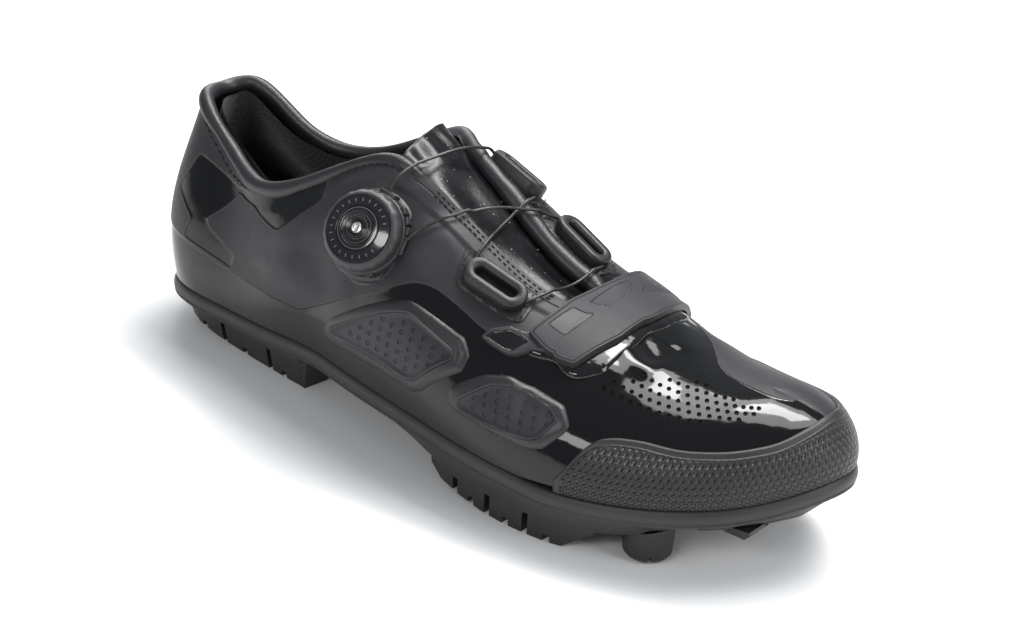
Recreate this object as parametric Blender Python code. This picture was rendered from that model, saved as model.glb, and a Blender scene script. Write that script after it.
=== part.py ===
"""A cycling shoe for the right foot, with a lacing dial, a hook and loop strap and a lugged sole.

The toe points along +X, the outer side of the foot is -Y, and the shoe stands on its lugs at z = 0.
Every curved piece is read from one surface: ribs that rise from the sole's edge to the top line.
A place on that surface is given by a station, 0 at the toe and 1 at the heel, a side and a height,
0 at the sole's edge and 1 at the top line.
"""
import math

import bmesh
import bpy
import numpy as np
from mathutils import Matrix, Vector

# Driving dimensions, in metres
SHOE_LENGTH = 0.290
BALL_WIDTH = 0.100
EDGE_HEIGHT = 0.0225
INSTEP_RISE = 0.075
WALL = 0.0020
CLEARANCE = 0.0003
SEAT = 0.00045

# Sole
SOLE_LEDGE = 0.0004
SOLE_BULGE = 0.0006
BULGE_DROP = 0.0030
RIM_WIDTH = 0.0042
FOOTBED_DEPTH = 0.0035
INSOLE_THICKNESS = 0.0032
INSOLE_GAP = 0.0005
BED_DRAFT = 0.0004
EDGE_CHAMFER = 0.0012
CLEAT_BED_WIDTH = 0.0320
CLEAT_BED_HEIGHT = 0.0005
TREAD_HEIGHT = 0.0095
HEEL_TREAD_HEIGHT = 0.0110
LUG_BASE = 0.0018
GROOVE_WIDTH = 0.0023
SIPE_WIDTH = 0.0026
SIPE_DEPTH = 0.0024
STUD_RADIUS = 0.0085
STUD_BOTTOM = 0.0012
STUD_NOTCH = 0.0018
STUD_NOTCH_DEPTH = 0.0025
TREAD_ROOT = 0.0012
OVERCUT = 0.0030

# Upper's trim
SWELL_LIFT = 0.0035
CAP_THICKNESS = 0.0013
PAD_THICKNESS = 0.0012
COLLAR_PAD = 0.0048
TONGUE_THICKNESS = 0.0030
STRAP_THICKNESS = 0.0020
STRAP_BASE = 0.0010

# Lacing
DIAL_RADIUS = 0.0137
DIAL_BASE_RADIUS = 0.0147
DIAL_BASE_HEIGHT = 0.0058
DIAL_KNOB_HEIGHT = 0.0050
DIAL_CAP_RADIUS = 0.0117
DIAL_CAP_HEIGHT = 0.0016
DIAL_SCREW_RADIUS = 0.0019
DIAL_EDGE = 0.0011
KNOB_GROOVE = 0.0005
GUIDE_LENGTH = 0.0235
GUIDE_WIDTH = 0.0108
GUIDE_SLOT = 0.0040
GUIDE_HEIGHT = 0.0040
GUIDE_EDGE = 0.0008
LACE_DIAMETER = 0.0012

# How finely the surface is read
STATIONS = 72
RIB_STEPS = 10

# One row for each section of the last, from the toe tip to the heel. Lengths are shares: x of
# SHOE_LENGTH, y of BALL_WIDTH, edge_z of EDGE_HEIGHT, rise of INSTEP_RISE. Angles are in degrees:
# lean is the wall's outward lean at the sole, droop the slope at the top line, on each side.
COLUMNS = (
    "station", "edge_x", "edge_outer", "edge_inner", "edge_z", "top_x", "top_outer", "top_inner",
    "rise", "lean", "flow", "droop_outer", "droop_inner", "shoulder",
)
SECTIONS = [
    (0.00, 0.9945, 0.120, 0.120, 1.55, 0.903, 0.080, 0.080, 0.273, 6.0, 0.62, 0, 0, 0.64),
    (0.06, 0.9655, -0.092, 0.292, 1.38, 0.897, 0.080, 0.080, 0.330, 7.5, 0.62, 0, 0, 0.64),
    (0.13, 0.9140, -0.277, 0.408, 1.22, 0.872, 0.070, 0.070, 0.370, 8.0, 0.60, 0, 0, 0.62),
    (0.22, 0.8330, -0.407, 0.467, 1.05, 0.800, 0.050, 0.050, 0.425, 8.0, 0.58, 0, 0, 0.60),
    (0.33, 0.7310, -0.489, 0.504, 0.965, 0.716, -0.065, 0.100, 0.535, 8.0, 0.57, 0, -2, 0.59),
    (0.44, 0.622, -0.495, 0.490, 0.985, 0.613, -0.130, 0.065, 0.625, 8.5, 0.58, 4, -8, 0.61),
    (0.55, 0.511, -0.460, 0.400, 1.02, 0.501, -0.168, 0.075, 0.850, 8.5, 0.54, 16, -9, 0.58),
    (0.66, 0.397, -0.405, 0.315, 1.005, 0.423, -0.173, 0.143, 0.980, 6.0, 0.46, 30, 16, 0.47),
    (0.72, 0.339, -0.375, 0.300, 1.00, 0.370, -0.203, 0.230, 0.970, 6.0, 0.42, 45, 40, 0.42),
    (0.79, 0.262, -0.360, 0.315, 0.935, 0.251, -0.295, 0.262, 0.735, 5.0, 0.40, 70, 68, 0.40),
    (0.88, 0.147, -0.335, 0.325, 0.865, 0.133, -0.225, 0.162, 0.780, 7.0, 0.40, 76, 76, 0.40),
    (0.95, 0.039, -0.252, 0.240, 0.84, 0.055, -0.156, 0.112, 0.955, 12.0, 0.43, 74, 76, 0.40),
    (1.00, 0.007, 0.000, 0.000, 0.78, 0.030, 0.000, 0.000, 0.960, 12.0, 0.48, 82, 82, 0.40),
]
THROAT_START = 0.37
THROAT_FULL = 0.44

# The swelling of the upper under the dial: its station and height, and its spread in each
SWELL_PLACE = (0.715, 0.55)
SWELL_SPREAD = (0.060, 0.28)

# The plate's underside, a row for each place along the shoe. x is a share of SHOE_LENGTH, under a
# share of EDGE_HEIGHT, and inset, how far the lower edge lies inside the upper one, of BALL_WIDTH.
UNDERSIDE = [
    (-0.02, 0.56, 0.036), (0.05, 0.50, 0.034), (0.300, 0.50, 0.030), (0.312, 0.64, 0.030),
    (0.36, 0.67, 0.028), (0.42, 0.69, 0.026), (0.48, 0.65, 0.024), (0.53, 0.58, 0.021),
    (0.560, 0.50, 0.018), (0.585, 0.43, 0.015), (0.795, 0.43, 0.022), (0.83, 0.49, 0.034),
    (0.865, 0.62, 0.042), (0.90, 0.75, 0.044), (0.95, 0.83, 0.042), (0.98, 0.93, 0.036),
    (1.00, 1.20, 0.030), (1.02, 1.32, 0.026),
]

# The treads' lower faces: x as a share of SHOE_LENGTH, bottom as a share of the tread's height
FOREFOOT_TREAD = [
    (0.566, 0.86), (0.584, 0.42), (0.615, 0.20), (0.650, 0.05), (0.680, 0.0), (0.722, 0.0),
    (0.760, 0.0), (0.798, 0.86),
]
HEEL_TREAD = [(0.00, 0.34), (0.08, 0.26), (0.14, 0.08), (0.19, 0.0), (0.30, 0.0)]
TREAD_MIDDLE = 0.02
CLEAT_BED_SPAN = (0.600, 0.780)
FOREFOOT_PLACES = (
    0.566, 0.575, 0.584, 0.60, 0.615, 0.635, 0.65, 0.68, 0.70, 0.722, 0.745, 0.762, 0.780, 0.798,
)
FOREFOOT_GROOVES = (0.608, 0.659, 0.714)
FOREFOOT_SIPES = (0.634, 0.687, 0.743)
HEEL_GROOVES = (0.142, 0.235)
HEEL_SIPES = (0.100, 0.182, 0.262)


def share(value, whole):
    """A length given as a share of a driving dimension."""
    return value * whole


def new_material(name, colour, roughness, metallic=0.0, coat=0.0):
    """A plain Principled material."""
    material = bpy.data.materials.new(name)
    material.use_nodes = True
    shader = material.node_tree.nodes["Principled BSDF"]
    shader.inputs["Base Color"].default_value = (*colour, 1.0)
    shader.inputs["Roughness"].default_value = roughness
    shader.inputs["Metallic"].default_value = metallic
    shader.inputs["Coat Weight"].default_value = coat
    return material


def smoothstep(low, high, x):
    """0 below low, 1 above high, and a smooth step between."""
    u = np.clip((np.asarray(x, float) - low) / (high - low), 0.0, 1.0)
    return u * u * (3.0 - 2.0 * u)


def spline_bend(knots, values, period):
    """The second derivatives, at the knots, of a smooth closed cubic spline through values."""
    count = len(knots)
    spans = np.diff(np.append(knots, knots[0] + period))
    matrix = np.zeros((count, count))
    right = np.zeros((count, values.shape[1]))
    for i in range(count):
        before, after = spans[i - 1], spans[i]
        matrix[i, (i - 1) % count] += before / 6
        matrix[i, i] += (before + after) / 3
        matrix[i, (i + 1) % count] += after / 6
        right[i] = (values[(i + 1) % count] - values[i]) / after - (values[i] - values[i - 1]) / before
    return np.linalg.solve(matrix, right)


def read_spline(knots, values, bend, at, period):
    """The closed spline's rows of values at the given places."""
    count = len(knots)
    spans = np.diff(np.append(knots, knots[0] + period))
    at = np.mod(np.asarray(at, float) - knots[0], period) + knots[0]
    k = np.clip(np.searchsorted(knots, at, side="right") - 1, 0, count - 1)
    n = (k + 1) % count
    span = spans[k][:, None]
    a = (knots[k] + spans[k] - at)[:, None]
    b = (at - knots[k])[:, None]
    curve = (bend[k] * a**3 + bend[n] * b**3) / (6 * span)
    return curve + (values[k] / span - bend[k] * span / 6) * a + (values[n] / span - bend[n] * span / 6) * b


def loop_table():
    """The sections as one closed loop: outer side 0 to 1, inner side 1 to 2, in metres."""
    table = np.array(SECTIONS, float)
    column = {name: table[:, i] for i, name in enumerate(COLUMNS)}
    edge_z = share(column["edge_z"], EDGE_HEIGHT)

    def side(name):
        return np.stack([
            share(column["edge_x"], SHOE_LENGTH), share(column["edge_" + name], BALL_WIDTH), edge_z,
            share(column["top_x"], SHOE_LENGTH), share(column["top_" + name], BALL_WIDTH),
            edge_z + share(column["rise"], INSTEP_RISE),
            column["lean"], column["flow"], column["droop_" + name], column["shoulder"],
        ], axis=1)

    station = column["station"]
    knots = np.concatenate([station, 2 - station[-2:0:-1]])
    return knots, np.concatenate([side("outer"), side("inner")[-2:0:-1]])


KNOTS, LOOP = loop_table()
LOOP_BEND = spline_bend(KNOTS, LOOP, 2.0)
TOP_Y = 4


def read_loop(v):
    """The loop's columns at v, with the two sides' top lines joined ahead of the throat."""
    rows = read_spline(KNOTS, LOOP, LOOP_BEND, v, 2.0)
    other = read_spline(KNOTS, LOOP, LOOP_BEND, 2.0 - v, 2.0)
    station = np.minimum(np.mod(v, 2.0), 2.0 - np.mod(v, 2.0))
    u = np.clip((station - THROAT_START) / (THROAT_FULL - THROAT_START), 0.0, 1.0)
    opening = np.sqrt(1.0 - (1.0 - u) ** 2)
    middle = (rows[:, TOP_Y] + other[:, TOP_Y]) / 2
    rows[:, TOP_Y] = middle + (rows[:, TOP_Y] - middle) * opening
    return rows


def plan_normal(v):
    """The outward direction, in plan, of the sole's edge at v."""
    step = 1e-3
    ahead = read_loop(v + step)[:, :2]
    behind = read_loop(v - step)[:, :2]
    tangent = ahead - behind
    normal = np.stack([tangent[:, 1], -tangent[:, 0]], axis=1)
    return normal / np.linalg.norm(normal, axis=1)[:, None] * OUTWARD


OUTWARD = 1.0
if plan_normal(np.array([0.5]))[0, 1] > 0:
    OUTWARD = -1.0


def surface(v, t):
    """Points on the upper's outer face, an array of len(v) by len(t) by 3."""
    v = np.atleast_1d(np.asarray(v, float))
    t = np.atleast_1d(np.asarray(t, float))
    rows = read_loop(v)
    step = 1e-3
    along = read_loop(v + step)[:, 3:6] - read_loop(v - step)[:, 3:6]
    edge, top = rows[:, 0:3], rows[:, 3:6]
    lean, droop = np.radians(rows[:, 6]), np.radians(rows[:, 8])
    flow, shoulder = rows[:, 7], rows[:, 9]
    outward = plan_normal(v)
    rising = np.concatenate([outward * np.sin(lean)[:, None], np.cos(lean)[:, None]], axis=1)
    plan = edge[:, :2] - top[:, :2]
    width = np.linalg.norm(plan, axis=1)
    direction = plan / np.maximum(width, 1e-9)[:, None]
    station = np.minimum(np.mod(v, 2.0), 2.0 - np.mod(v, 2.0))
    safe = np.where(np.abs(along[:, 0]) > 1e-8, along[:, 0], 1.0)
    slope = np.where(np.abs(along[:, 0]) > 1e-8, along[:, 2] / safe, 0.0)
    crest = (1 - np.clip(np.degrees(droop) / 25, 0, 1)) * smoothstep(0.07, 0.17, station)
    slope = np.clip(slope, -0.5, 0.1) * crest
    fall = -np.sin(droop) + slope * direction[:, 0] * np.cos(droop)
    falling = np.concatenate([direction * np.cos(droop)[:, None], fall[:, None]], axis=1)
    height = top[:, 2] - edge[:, 2]
    reach = np.sqrt(width**2 * np.cos(droop) ** 2 + height**2 * np.sin(droop) ** 2)
    low = (edge + rising * (flow * height)[:, None])[:, None]
    high = (top + falling * (shoulder * reach)[:, None])[:, None]
    s = t[None, :, None]
    points = (1 - s) ** 3 * edge[:, None] + 3 * (1 - s) ** 2 * s * low
    points = points + 3 * (1 - s) * s**2 * high + s**3 * top[:, None]
    swell = np.exp(-((v - SWELL_PLACE[0]) / SWELL_SPREAD[0]) ** 2 / 2)[:, None]
    swell = swell * np.exp(-((t - SWELL_PLACE[1]) / SWELL_SPREAD[1]) ** 2 / 2)[None, :]
    swell = swell * np.clip((1 - t) * 6, 0, 1)[None, :] * np.clip(t * 6, 0, 1)[None, :]
    points[:, :, :2] += outward[:, None, :] * (SWELL_LIFT * swell)[:, :, None]
    return points


def normals(v, t):
    """Outward unit normals of the surface at each v and t."""
    v = np.atleast_1d(np.asarray(v, float))
    t = np.atleast_1d(np.asarray(t, float))
    step = 0.004
    inner_t = np.clip(t, 0.01, 0.985)
    by_v = surface(v + step, inner_t) - surface(v - step, inner_t)
    by_t = surface(v, inner_t + 0.01) - surface(v, inner_t - 0.01)
    normal = np.cross(by_v, by_t) * OUTWARD
    return normal / np.maximum(np.linalg.norm(normal, axis=2), 1e-12)[:, :, None]


if normals([0.5], [0.3])[0, 0, 1] > 0:
    FACING = -1.0
else:
    FACING = 1.0


def skin(v, t, offset):
    """Surface points pushed out by offset, or in where it is negative."""
    points = surface(v, t)
    lift = np.broadcast_to(np.asarray(offset, float), points.shape[:2])
    return points + FACING * normals(v, t) * lift[:, :, None]


def skin_at(places, offset):
    """Points at (v, t) places, pushed out by offset, as a list of vectors."""
    lifts = np.broadcast_to(np.asarray(offset, float), (len(places),))
    return [Vector(skin([v], [t], lift)[0, 0]) for (v, t), lift in zip(places, lifts)]


def underside(x):
    """Height of the plate's lower face at x, in metres."""
    rows = np.array(UNDERSIDE, float)
    return np.interp(x, share(rows[:, 0], SHOE_LENGTH), share(rows[:, 1], EDGE_HEIGHT))


def lower_inset(x):
    """How far the plate's lower edge lies inside its upper edge at x, in metres."""
    rows = np.array(UNDERSIDE, float)
    return np.interp(x, share(rows[:, 0], SHOE_LENGTH), share(rows[:, 2], BALL_WIDTH))


def cap_ledge(v):
    """Extra width of the sole's edge under the toe cap."""
    station = np.minimum(np.mod(v, 2.0), 2.0 - np.mod(v, 2.0))
    return (CAP_THICKNESS + SEAT) * (1.0 - smoothstep(0.30, 0.38, station))


def outline(v, outset):
    """The sole's edge in plan, moved outwards by outset, with the edge's height."""
    rows = read_loop(np.asarray(v, float))
    out = np.broadcast_to(np.asarray(outset, float), (len(rows),))
    plan = rows[:, :2] + plan_normal(np.asarray(v, float)) * out[:, None]
    return np.concatenate([plan, rows[:, 2:3]], axis=1)


def outline_y(x, outer, outset):
    """The y of the sole's edge at x on one side, moved outwards by outset."""
    v = np.linspace(0.02, 0.98, 200)
    if not outer:
        v = 2.0 - v
    edge = outline(v, outset)
    order = np.argsort(edge[:, 0])
    return float(np.interp(x, edge[order, 0], edge[order, 1]))


def finish_object(name, mesh_builder, material, smooth=40.0):
    """An object from a bmesh: doubles joined, faces outward, shaded smooth, parented to the shoe."""
    bmesh.ops.remove_doubles(mesh_builder, verts=mesh_builder.verts, dist=1e-6)
    bmesh.ops.dissolve_degenerate(mesh_builder, edges=mesh_builder.edges, dist=1e-7)
    bmesh.ops.recalc_face_normals(mesh_builder, faces=mesh_builder.faces)
    mesh = bpy.data.meshes.new(name)
    mesh_builder.to_mesh(mesh)
    mesh_builder.free()
    mesh.shade_smooth()
    mesh.set_sharp_from_angle(angle=math.radians(smooth))
    piece = bpy.data.objects.new(name, mesh)
    bpy.context.collection.objects.link(piece)
    if material:
        mesh.materials.append(material)
        piece.parent = SHOE
    return piece


def add_sheet(name, grid, thickness, material, closed=False):
    """A sheet through a grid of points, given a thickness on its outer side, or inner if negative."""
    rows, columns = grid.shape[:2]
    builder = bmesh.new()
    verts = [[builder.verts.new(grid[i, j]) for j in range(columns)] for i in range(rows)]
    last = rows if closed else rows - 1
    for i in range(last):
        for j in range(columns - 1):
            a, b = verts[i], verts[(i + 1) % rows]
            builder.faces.new((a[j], b[j], b[j + 1], a[j + 1]))
    bmesh.ops.remove_doubles(builder, verts=builder.verts, dist=1e-6)
    bmesh.ops.recalc_face_normals(builder, faces=builder.faces)
    builder.faces.ensure_lookup_table()
    middle = builder.faces[len(builder.faces) // 2]
    if (middle.calc_center_median() - Vector((0.15, 0.0, 0.02))).dot(middle.normal) < 0:
        bmesh.ops.reverse_faces(builder, faces=builder.faces)
    mesh = bpy.data.meshes.new(name)
    builder.to_mesh(mesh)
    builder.free()
    mesh.shade_smooth()
    mesh.set_sharp_from_angle(angle=math.radians(45))
    mesh.materials.append(material)
    piece = bpy.data.objects.new(name, mesh)
    bpy.context.collection.objects.link(piece)
    piece.parent = SHOE
    solid = piece.modifiers.new("thickness", "SOLIDIFY")
    solid.thickness = abs(thickness)
    solid.offset = 1.0 if thickness > 0 else -1.0
    solid.use_even_offset = True
    return piece


def add_loft(name, rings, material, closed=False, smooth=40.0):
    """A solid through closed rings of points, capped at its ends unless the rings close a loop."""
    builder = bmesh.new()
    loops = [[builder.verts.new(point) for point in ring] for ring in rings]
    count = len(loops[0])
    pairs = list(zip(loops, loops[1:]))
    if closed:
        pairs.append((loops[-1], loops[0]))
    for low, high in pairs:
        for i in range(count):
            j = (i + 1) % count
            builder.faces.new((low[i], low[j], high[j], high[i]))
    if not closed:
        builder.faces.new(loops[0])
        builder.faces.new(loops[-1])
    return finish_object(name, builder, material, smooth)


def add_slab(name, loops, material):
    """A solid from loops round the shoe, its first and last loop closed by strips across."""
    builder = bmesh.new()
    rings = [[builder.verts.new(point) for point in loop] for loop in loops]
    count = len(rings[0])
    for low, high in zip(rings, rings[1:]):
        for i in range(count):
            j = (i + 1) % count
            builder.faces.new((low[i], low[j], high[j], high[i]))
    half = count // 2
    for ring in (rings[0], rings[-1]):
        for i in range(half):
            corners = [ring[i], ring[i + 1], ring[(count - i - 1) % count], ring[(count - i) % count]]
            builder.faces.new(list(dict.fromkeys(corners)))
    return finish_object(name, builder, material)


def add_patch(name, places, rings, material):
    """A raised patch on the surface: an outline of (v, t) places, with a height for each ring.

    rings is a list of (scale, height): each ring is the outline drawn towards its middle by scale.
    """
    places = np.array(places, float)
    middle = places.mean(axis=0)
    scales = [scale for scale, _ in rings]
    builder = bmesh.new()

    def ring(scale, height):
        spots = middle + (places - middle) * scale
        return [builder.verts.new(point) for point in skin_at(spots, height)]

    under = [ring(scale, SEAT) for scale in scales]
    over = [ring(scale, height) for scale, height in rings]
    stack = under[::-1] + over
    count = len(places)
    for low, high in zip(stack, stack[1:]):
        for i in range(count):
            j = (i + 1) % count
            builder.faces.new((low[i], low[j], high[j], high[i]))
    for inner, height in ((stack[0], SEAT), (stack[-1], rings[-1][1])):
        centre = builder.verts.new(skin_at([middle], height)[0])
        for i in range(count):
            builder.faces.new((inner[i], inner[(i + 1) % count], centre))
    return finish_object(name, builder, material)


def carve(piece, cutters):
    """Cuts pieces out of an object and removes the cutters."""
    for cutter in cutters:
        cut = piece.modifiers.new("cut", "BOOLEAN")
        cut.operation = "DIFFERENCE"
        cut.solver = "EXACT"
        cut.object = cutter
    bpy.context.view_layer.update()
    evaluated = piece.evaluated_get(bpy.context.evaluated_depsgraph_get())
    mesh = bpy.data.meshes.new_from_object(evaluated)
    piece.modifiers.clear()
    piece.data = mesh
    for cutter in cutters:
        bpy.data.objects.remove(cutter, do_unlink=True)


def merge(piece, other):
    """Joins another object into this one."""
    join = piece.modifiers.new("join", "BOOLEAN")
    join.operation = "UNION"
    join.solver = "EXACT"
    join.object = other
    bpy.context.view_layer.update()
    evaluated = piece.evaluated_get(bpy.context.evaluated_depsgraph_get())
    mesh = bpy.data.meshes.new_from_object(evaluated)
    piece.modifiers.clear()
    piece.data = mesh
    bpy.data.objects.remove(other, do_unlink=True)


def add_box(name, centre, size, turn=None):
    """A plain box, used as a cutter."""
    builder = bmesh.new()
    bmesh.ops.create_cube(builder, size=1.0)
    bmesh.ops.scale(builder, vec=size, verts=builder.verts)
    if turn is not None:
        bmesh.ops.transform(builder, matrix=turn, verts=builder.verts)
    bmesh.ops.translate(builder, vec=centre, verts=builder.verts)
    return finish_object(name, builder, None)


def resample(corners, spacing):
    """A closed outline of (v, t) corners with more points on its sides and rounded corners."""
    points = []
    count = len(corners)
    for i in range(count):
        before = np.array(corners[i - 1], float)
        here = np.array(corners[i], float)
        after = np.array(corners[(i + 1) % count], float)
        start = here + (before - here) * 0.22
        end = here + (after - here) * 0.22
        points.append(start)
        points.append((start + 2 * here + end) / 4)
        points.append(end)
        gap = np.array(corners[(i + 1) % count], float) - here
        steps = int(np.hypot(gap[0] * 3.3, gap[1] * 0.7) / spacing)
        following_end = after + (here - after) * 0.22
        for k in range(1, steps):
            points.append(end + (following_end - end) * k / steps)
    return points


bpy.context.preferences.edit.use_global_undo = False
for stale in list(bpy.data.objects):
    bpy.data.objects.remove(stale, do_unlink=True)
SHOE = bpy.data.objects.new("shoe", None)
bpy.context.collection.objects.link(SHOE)

matte_black = new_material("matte_synthetic", (0.045, 0.045, 0.050), 0.55)
lining_black = new_material("lining_fabric", (0.018, 0.018, 0.020), 0.90)
rubber_grey = new_material("tread_rubber", (0.060, 0.060, 0.063), 0.70)
plate_grey = new_material("sole_plate", (0.050, 0.050, 0.053), 0.45)
bumper_black = new_material("toe_rubber", (0.050, 0.050, 0.053), 0.60)
gloss_black = new_material("gloss_synthetic", (0.010, 0.010, 0.012), 0.12, coat=1.0)
knob_grey = new_material("dial_rubber", (0.070, 0.070, 0.075), 0.50)
steel = new_material("steel", (0.60, 0.60, 0.60), 0.30, metallic=1.0)
lace_black = new_material("lace", (0.015, 0.015, 0.015), 0.45)


def stations(first, last, count):
    """Evenly spaced values of v."""
    return np.linspace(first, last, count)


def build_upper():
    """The hollow upper: one wall, open at the collar, the throat and underneath."""
    v = np.arange(STATIONS) * 2.0 / STATIONS
    t = np.linspace(0.0, 1.0, RIB_STEPS + 1)
    grid = surface(v, t)
    grid[:, :, 2] += CLEARANCE * (1 - t)[None, :]
    return add_sheet("upper", grid, -WALL, matte_black, closed=True)


def surface_form(offset):
    """A closed solid of the whole upper, pushed out by offset, used to fit trim to the surface."""
    v = np.arange(STATIONS) * 2.0 / STATIONS
    t = np.linspace(0.0, 1.0, RIB_STEPS + 1)
    grid = skin(v, t, offset)
    loops = [grid[:, j] for j in range(len(t))]
    return add_slab("surface_form", loops, None)


def build_sole_plate():
    """The stiff plate: rim, recessed footbed, bulged side and a stepped underside."""
    v = np.arange(STATIONS) * 2.0 / STATIONS
    ledge = SOLE_LEDGE + cap_ledge(v)
    rim = outline(v, ledge)
    bulge = outline(v, ledge + SOLE_BULGE)
    bulge[:, 2] -= BULGE_DROP
    inner = outline(v, ledge - RIM_WIDTH)
    bed = outline(v, ledge - RIM_WIDTH - BED_DRAFT)
    bed[:, 2] -= FOOTBED_DEPTH
    inset = lower_inset(rim[:, 0])
    corner = outline(v, ledge - inset)
    corner[:, 2] = underside(corner[:, 0]) + EDGE_CHAMFER
    bottom = outline(v, ledge - inset - EDGE_CHAMFER)
    bottom[:, 2] = underside(bottom[:, 0])
    plate_body = add_slab("sole_plate", [bed, inner, rim, bulge, corner, bottom], plate_grey)
    start, end = share(CLEAT_BED_SPAN[0], SHOE_LENGTH), share(CLEAT_BED_SPAN[1], SHOE_LENGTH)
    flat = float(underside((start + end) / 2))
    size = (end - start, CLEAT_BED_WIDTH, CLEAT_BED_HEIGHT + TREAD_ROOT)
    middle = flat + (TREAD_ROOT - CLEAT_BED_HEIGHT) / 2
    centre = ((start + end) / 2, share(TREAD_MIDDLE, BALL_WIDTH), middle)
    merge(plate_body, add_box("cleat_bed", centre, size))
    return plate_body


def build_insole():
    """A flat insole in the footbed's recess."""
    v = np.arange(0, STATIONS, 2) * 2.0 / STATIONS
    edge = SOLE_LEDGE + cap_ledge(v) - RIM_WIDTH - BED_DRAFT - INSOLE_GAP
    low = outline(v, edge)
    low[:, 2] += CLEARANCE - FOOTBED_DEPTH
    high = outline(v, edge)
    high[:, 2] += CLEARANCE - FOOTBED_DEPTH + INSOLE_THICKNESS
    return add_slab("insole", [low, high], lining_black)


def lowered_plate(plate, drop):
    """A copy of the plate a little lower, which cuts the treads to its underside."""
    copy = bpy.data.objects.new("plate_clear", plate.data.copy())
    bpy.context.collection.objects.link(copy)
    copy.data.transform(Matrix.Translation((0, 0, -drop)))
    return copy


def groove_cutters(places, width, y_low, y_high, top):
    """Boxes across a tread at shares of the shoe's length, from below the floor up to top."""
    cutters = []
    for place in places:
        centre = (share(place, SHOE_LENGTH), (y_low + y_high) / 2, (top - OVERCUT) / 2)
        size = (width, y_high - y_low, top + OVERCUT)
        cutters.append(add_box("groove", centre, size))
    return cutters


def build_forefoot_tread(name, outer, plate):
    """One side's row of forefoot lugs on a thin base, with grooves between them."""
    rows = np.array(FOREFOOT_TREAD, float)
    side = -1.0 if outer else 1.0
    middle = share(TREAD_MIDDLE, BALL_WIDTH)
    inner_y = middle + side * share(0.19, BALL_WIDTH)
    rings = []
    for place in FOREFOOT_PLACES:
        x = share(place, SHOE_LENGTH)
        bottom = TREAD_HEIGHT * float(np.interp(place, rows[:, 0], rows[:, 1]))
        taper = share(0.030, BALL_WIDTH)
        top_y = outline_y(x, outer, SOLE_LEDGE - float(lower_inset(x)) - EDGE_CHAMFER * 0.7)
        low_y = outline_y(x, outer, SOLE_LEDGE - taper)
        if abs(low_y) > abs(top_y):
            low_y = top_y
        top = float(underside(x)) + TREAD_ROOT
        rings.append([(x, top_y, top), (x, low_y, bottom), (x, inner_y, bottom), (x, inner_y, top)])
    tread = add_loft(name, rings, rubber_grey, smooth=30)
    y_low, y_high = sorted((inner_y - side * OVERCUT, side * BALL_WIDTH))
    grooves = groove_cutters(FOREFOOT_GROOVES, GROOVE_WIDTH, y_low, y_high, TREAD_HEIGHT - LUG_BASE)
    sipes = []
    for place in FOREFOOT_SIPES:
        low = TREAD_HEIGHT * float(np.interp(place, rows[:, 0], rows[:, 1]))
        sipes += groove_cutters([place], SIPE_WIDTH, y_low, y_high, low + SIPE_DEPTH)
    carve(tread, grooves + sipes + [lowered_plate(plate, CLEARANCE)])
    return tread


def build_heel_tread(plate):
    """The heel's horseshoe of lugs round an open middle."""
    rows = np.array(HEEL_TREAD, float)
    v = stations(0.744, 1.256, 27)
    top = outline(v, SOLE_LEDGE - share(0.042, BALL_WIDTH))
    low = outline(v, SOLE_LEDGE - share(0.072, BALL_WIDTH))
    inner = outline(v, SOLE_LEDGE - share(0.180, BALL_WIDTH))
    lean_back = np.zeros(len(v))
    lean_back[[0, -1]] = share(0.014, SHOE_LENGTH)
    rings = []
    for k in range(len(v)):
        bottom = HEEL_TREAD_HEIGHT * float(np.interp(low[k, 0] / SHOE_LENGTH, rows[:, 0], rows[:, 1]))
        above = float(underside(top[k, 0])) + TREAD_ROOT
        slant = lean_back[k]
        rings.append([
            (top[k, 0], top[k, 1], above), (low[k, 0] - slant, low[k, 1], bottom),
            (inner[k, 0] - slant, inner[k, 1], bottom), (inner[k, 0], inner[k, 1], above),
        ])
    tread = add_loft("heel_tread", rings, rubber_grey, smooth=30)
    reach = share(0.40, BALL_WIDTH)
    hollow = share(0.06, BALL_WIDTH)
    cutters = []
    for y_low, y_high in ((-reach, -hollow), (hollow, reach)):
        cutters += groove_cutters(HEEL_GROOVES, GROOVE_WIDTH, y_low, y_high, HEEL_TREAD_HEIGHT - LUG_BASE)
        for place in HEEL_SIPES:
            low_z = HEEL_TREAD_HEIGHT * float(np.interp(place, rows[:, 0], rows[:, 1]))
            cutters += groove_cutters([place], SIPE_WIDTH, y_low, y_high, low_z + SIPE_DEPTH)
    groove_top = HEEL_TREAD_HEIGHT - 2 * LUG_BASE
    back_size = (share(0.14, SHOE_LENGTH), GROOVE_WIDTH, groove_top + OVERCUT)
    back = add_box("back_groove", (share(0.04, SHOE_LENGTH), 0, (groove_top - OVERCUT) / 2), back_size)
    carve(tread, cutters + [back, lowered_plate(plate, CLEARANCE)])
    return tread


def build_toe_lug(name, y_low, y_high, plate):
    """A small wedge of tread under the toe."""
    rings = []
    for place, drop in ((0.905, 0.04), (0.925, 0.08), (0.945, 0.10), (0.952, 0.02)):
        x = share(place, SHOE_LENGTH)
        low = float(underside(x)) - share(drop, EDGE_HEIGHT)
        top = float(underside(x)) + TREAD_ROOT
        slant = LUG_BASE / 2
        rings.append([(x, y_low, top), (x, y_low + slant, low), (x, y_high - slant, low), (x, y_high, top)])
    lug = add_loft(name, rings, rubber_grey, smooth=30)
    carve(lug, [lowered_plate(plate, CLEARANCE)])
    return lug


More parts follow.
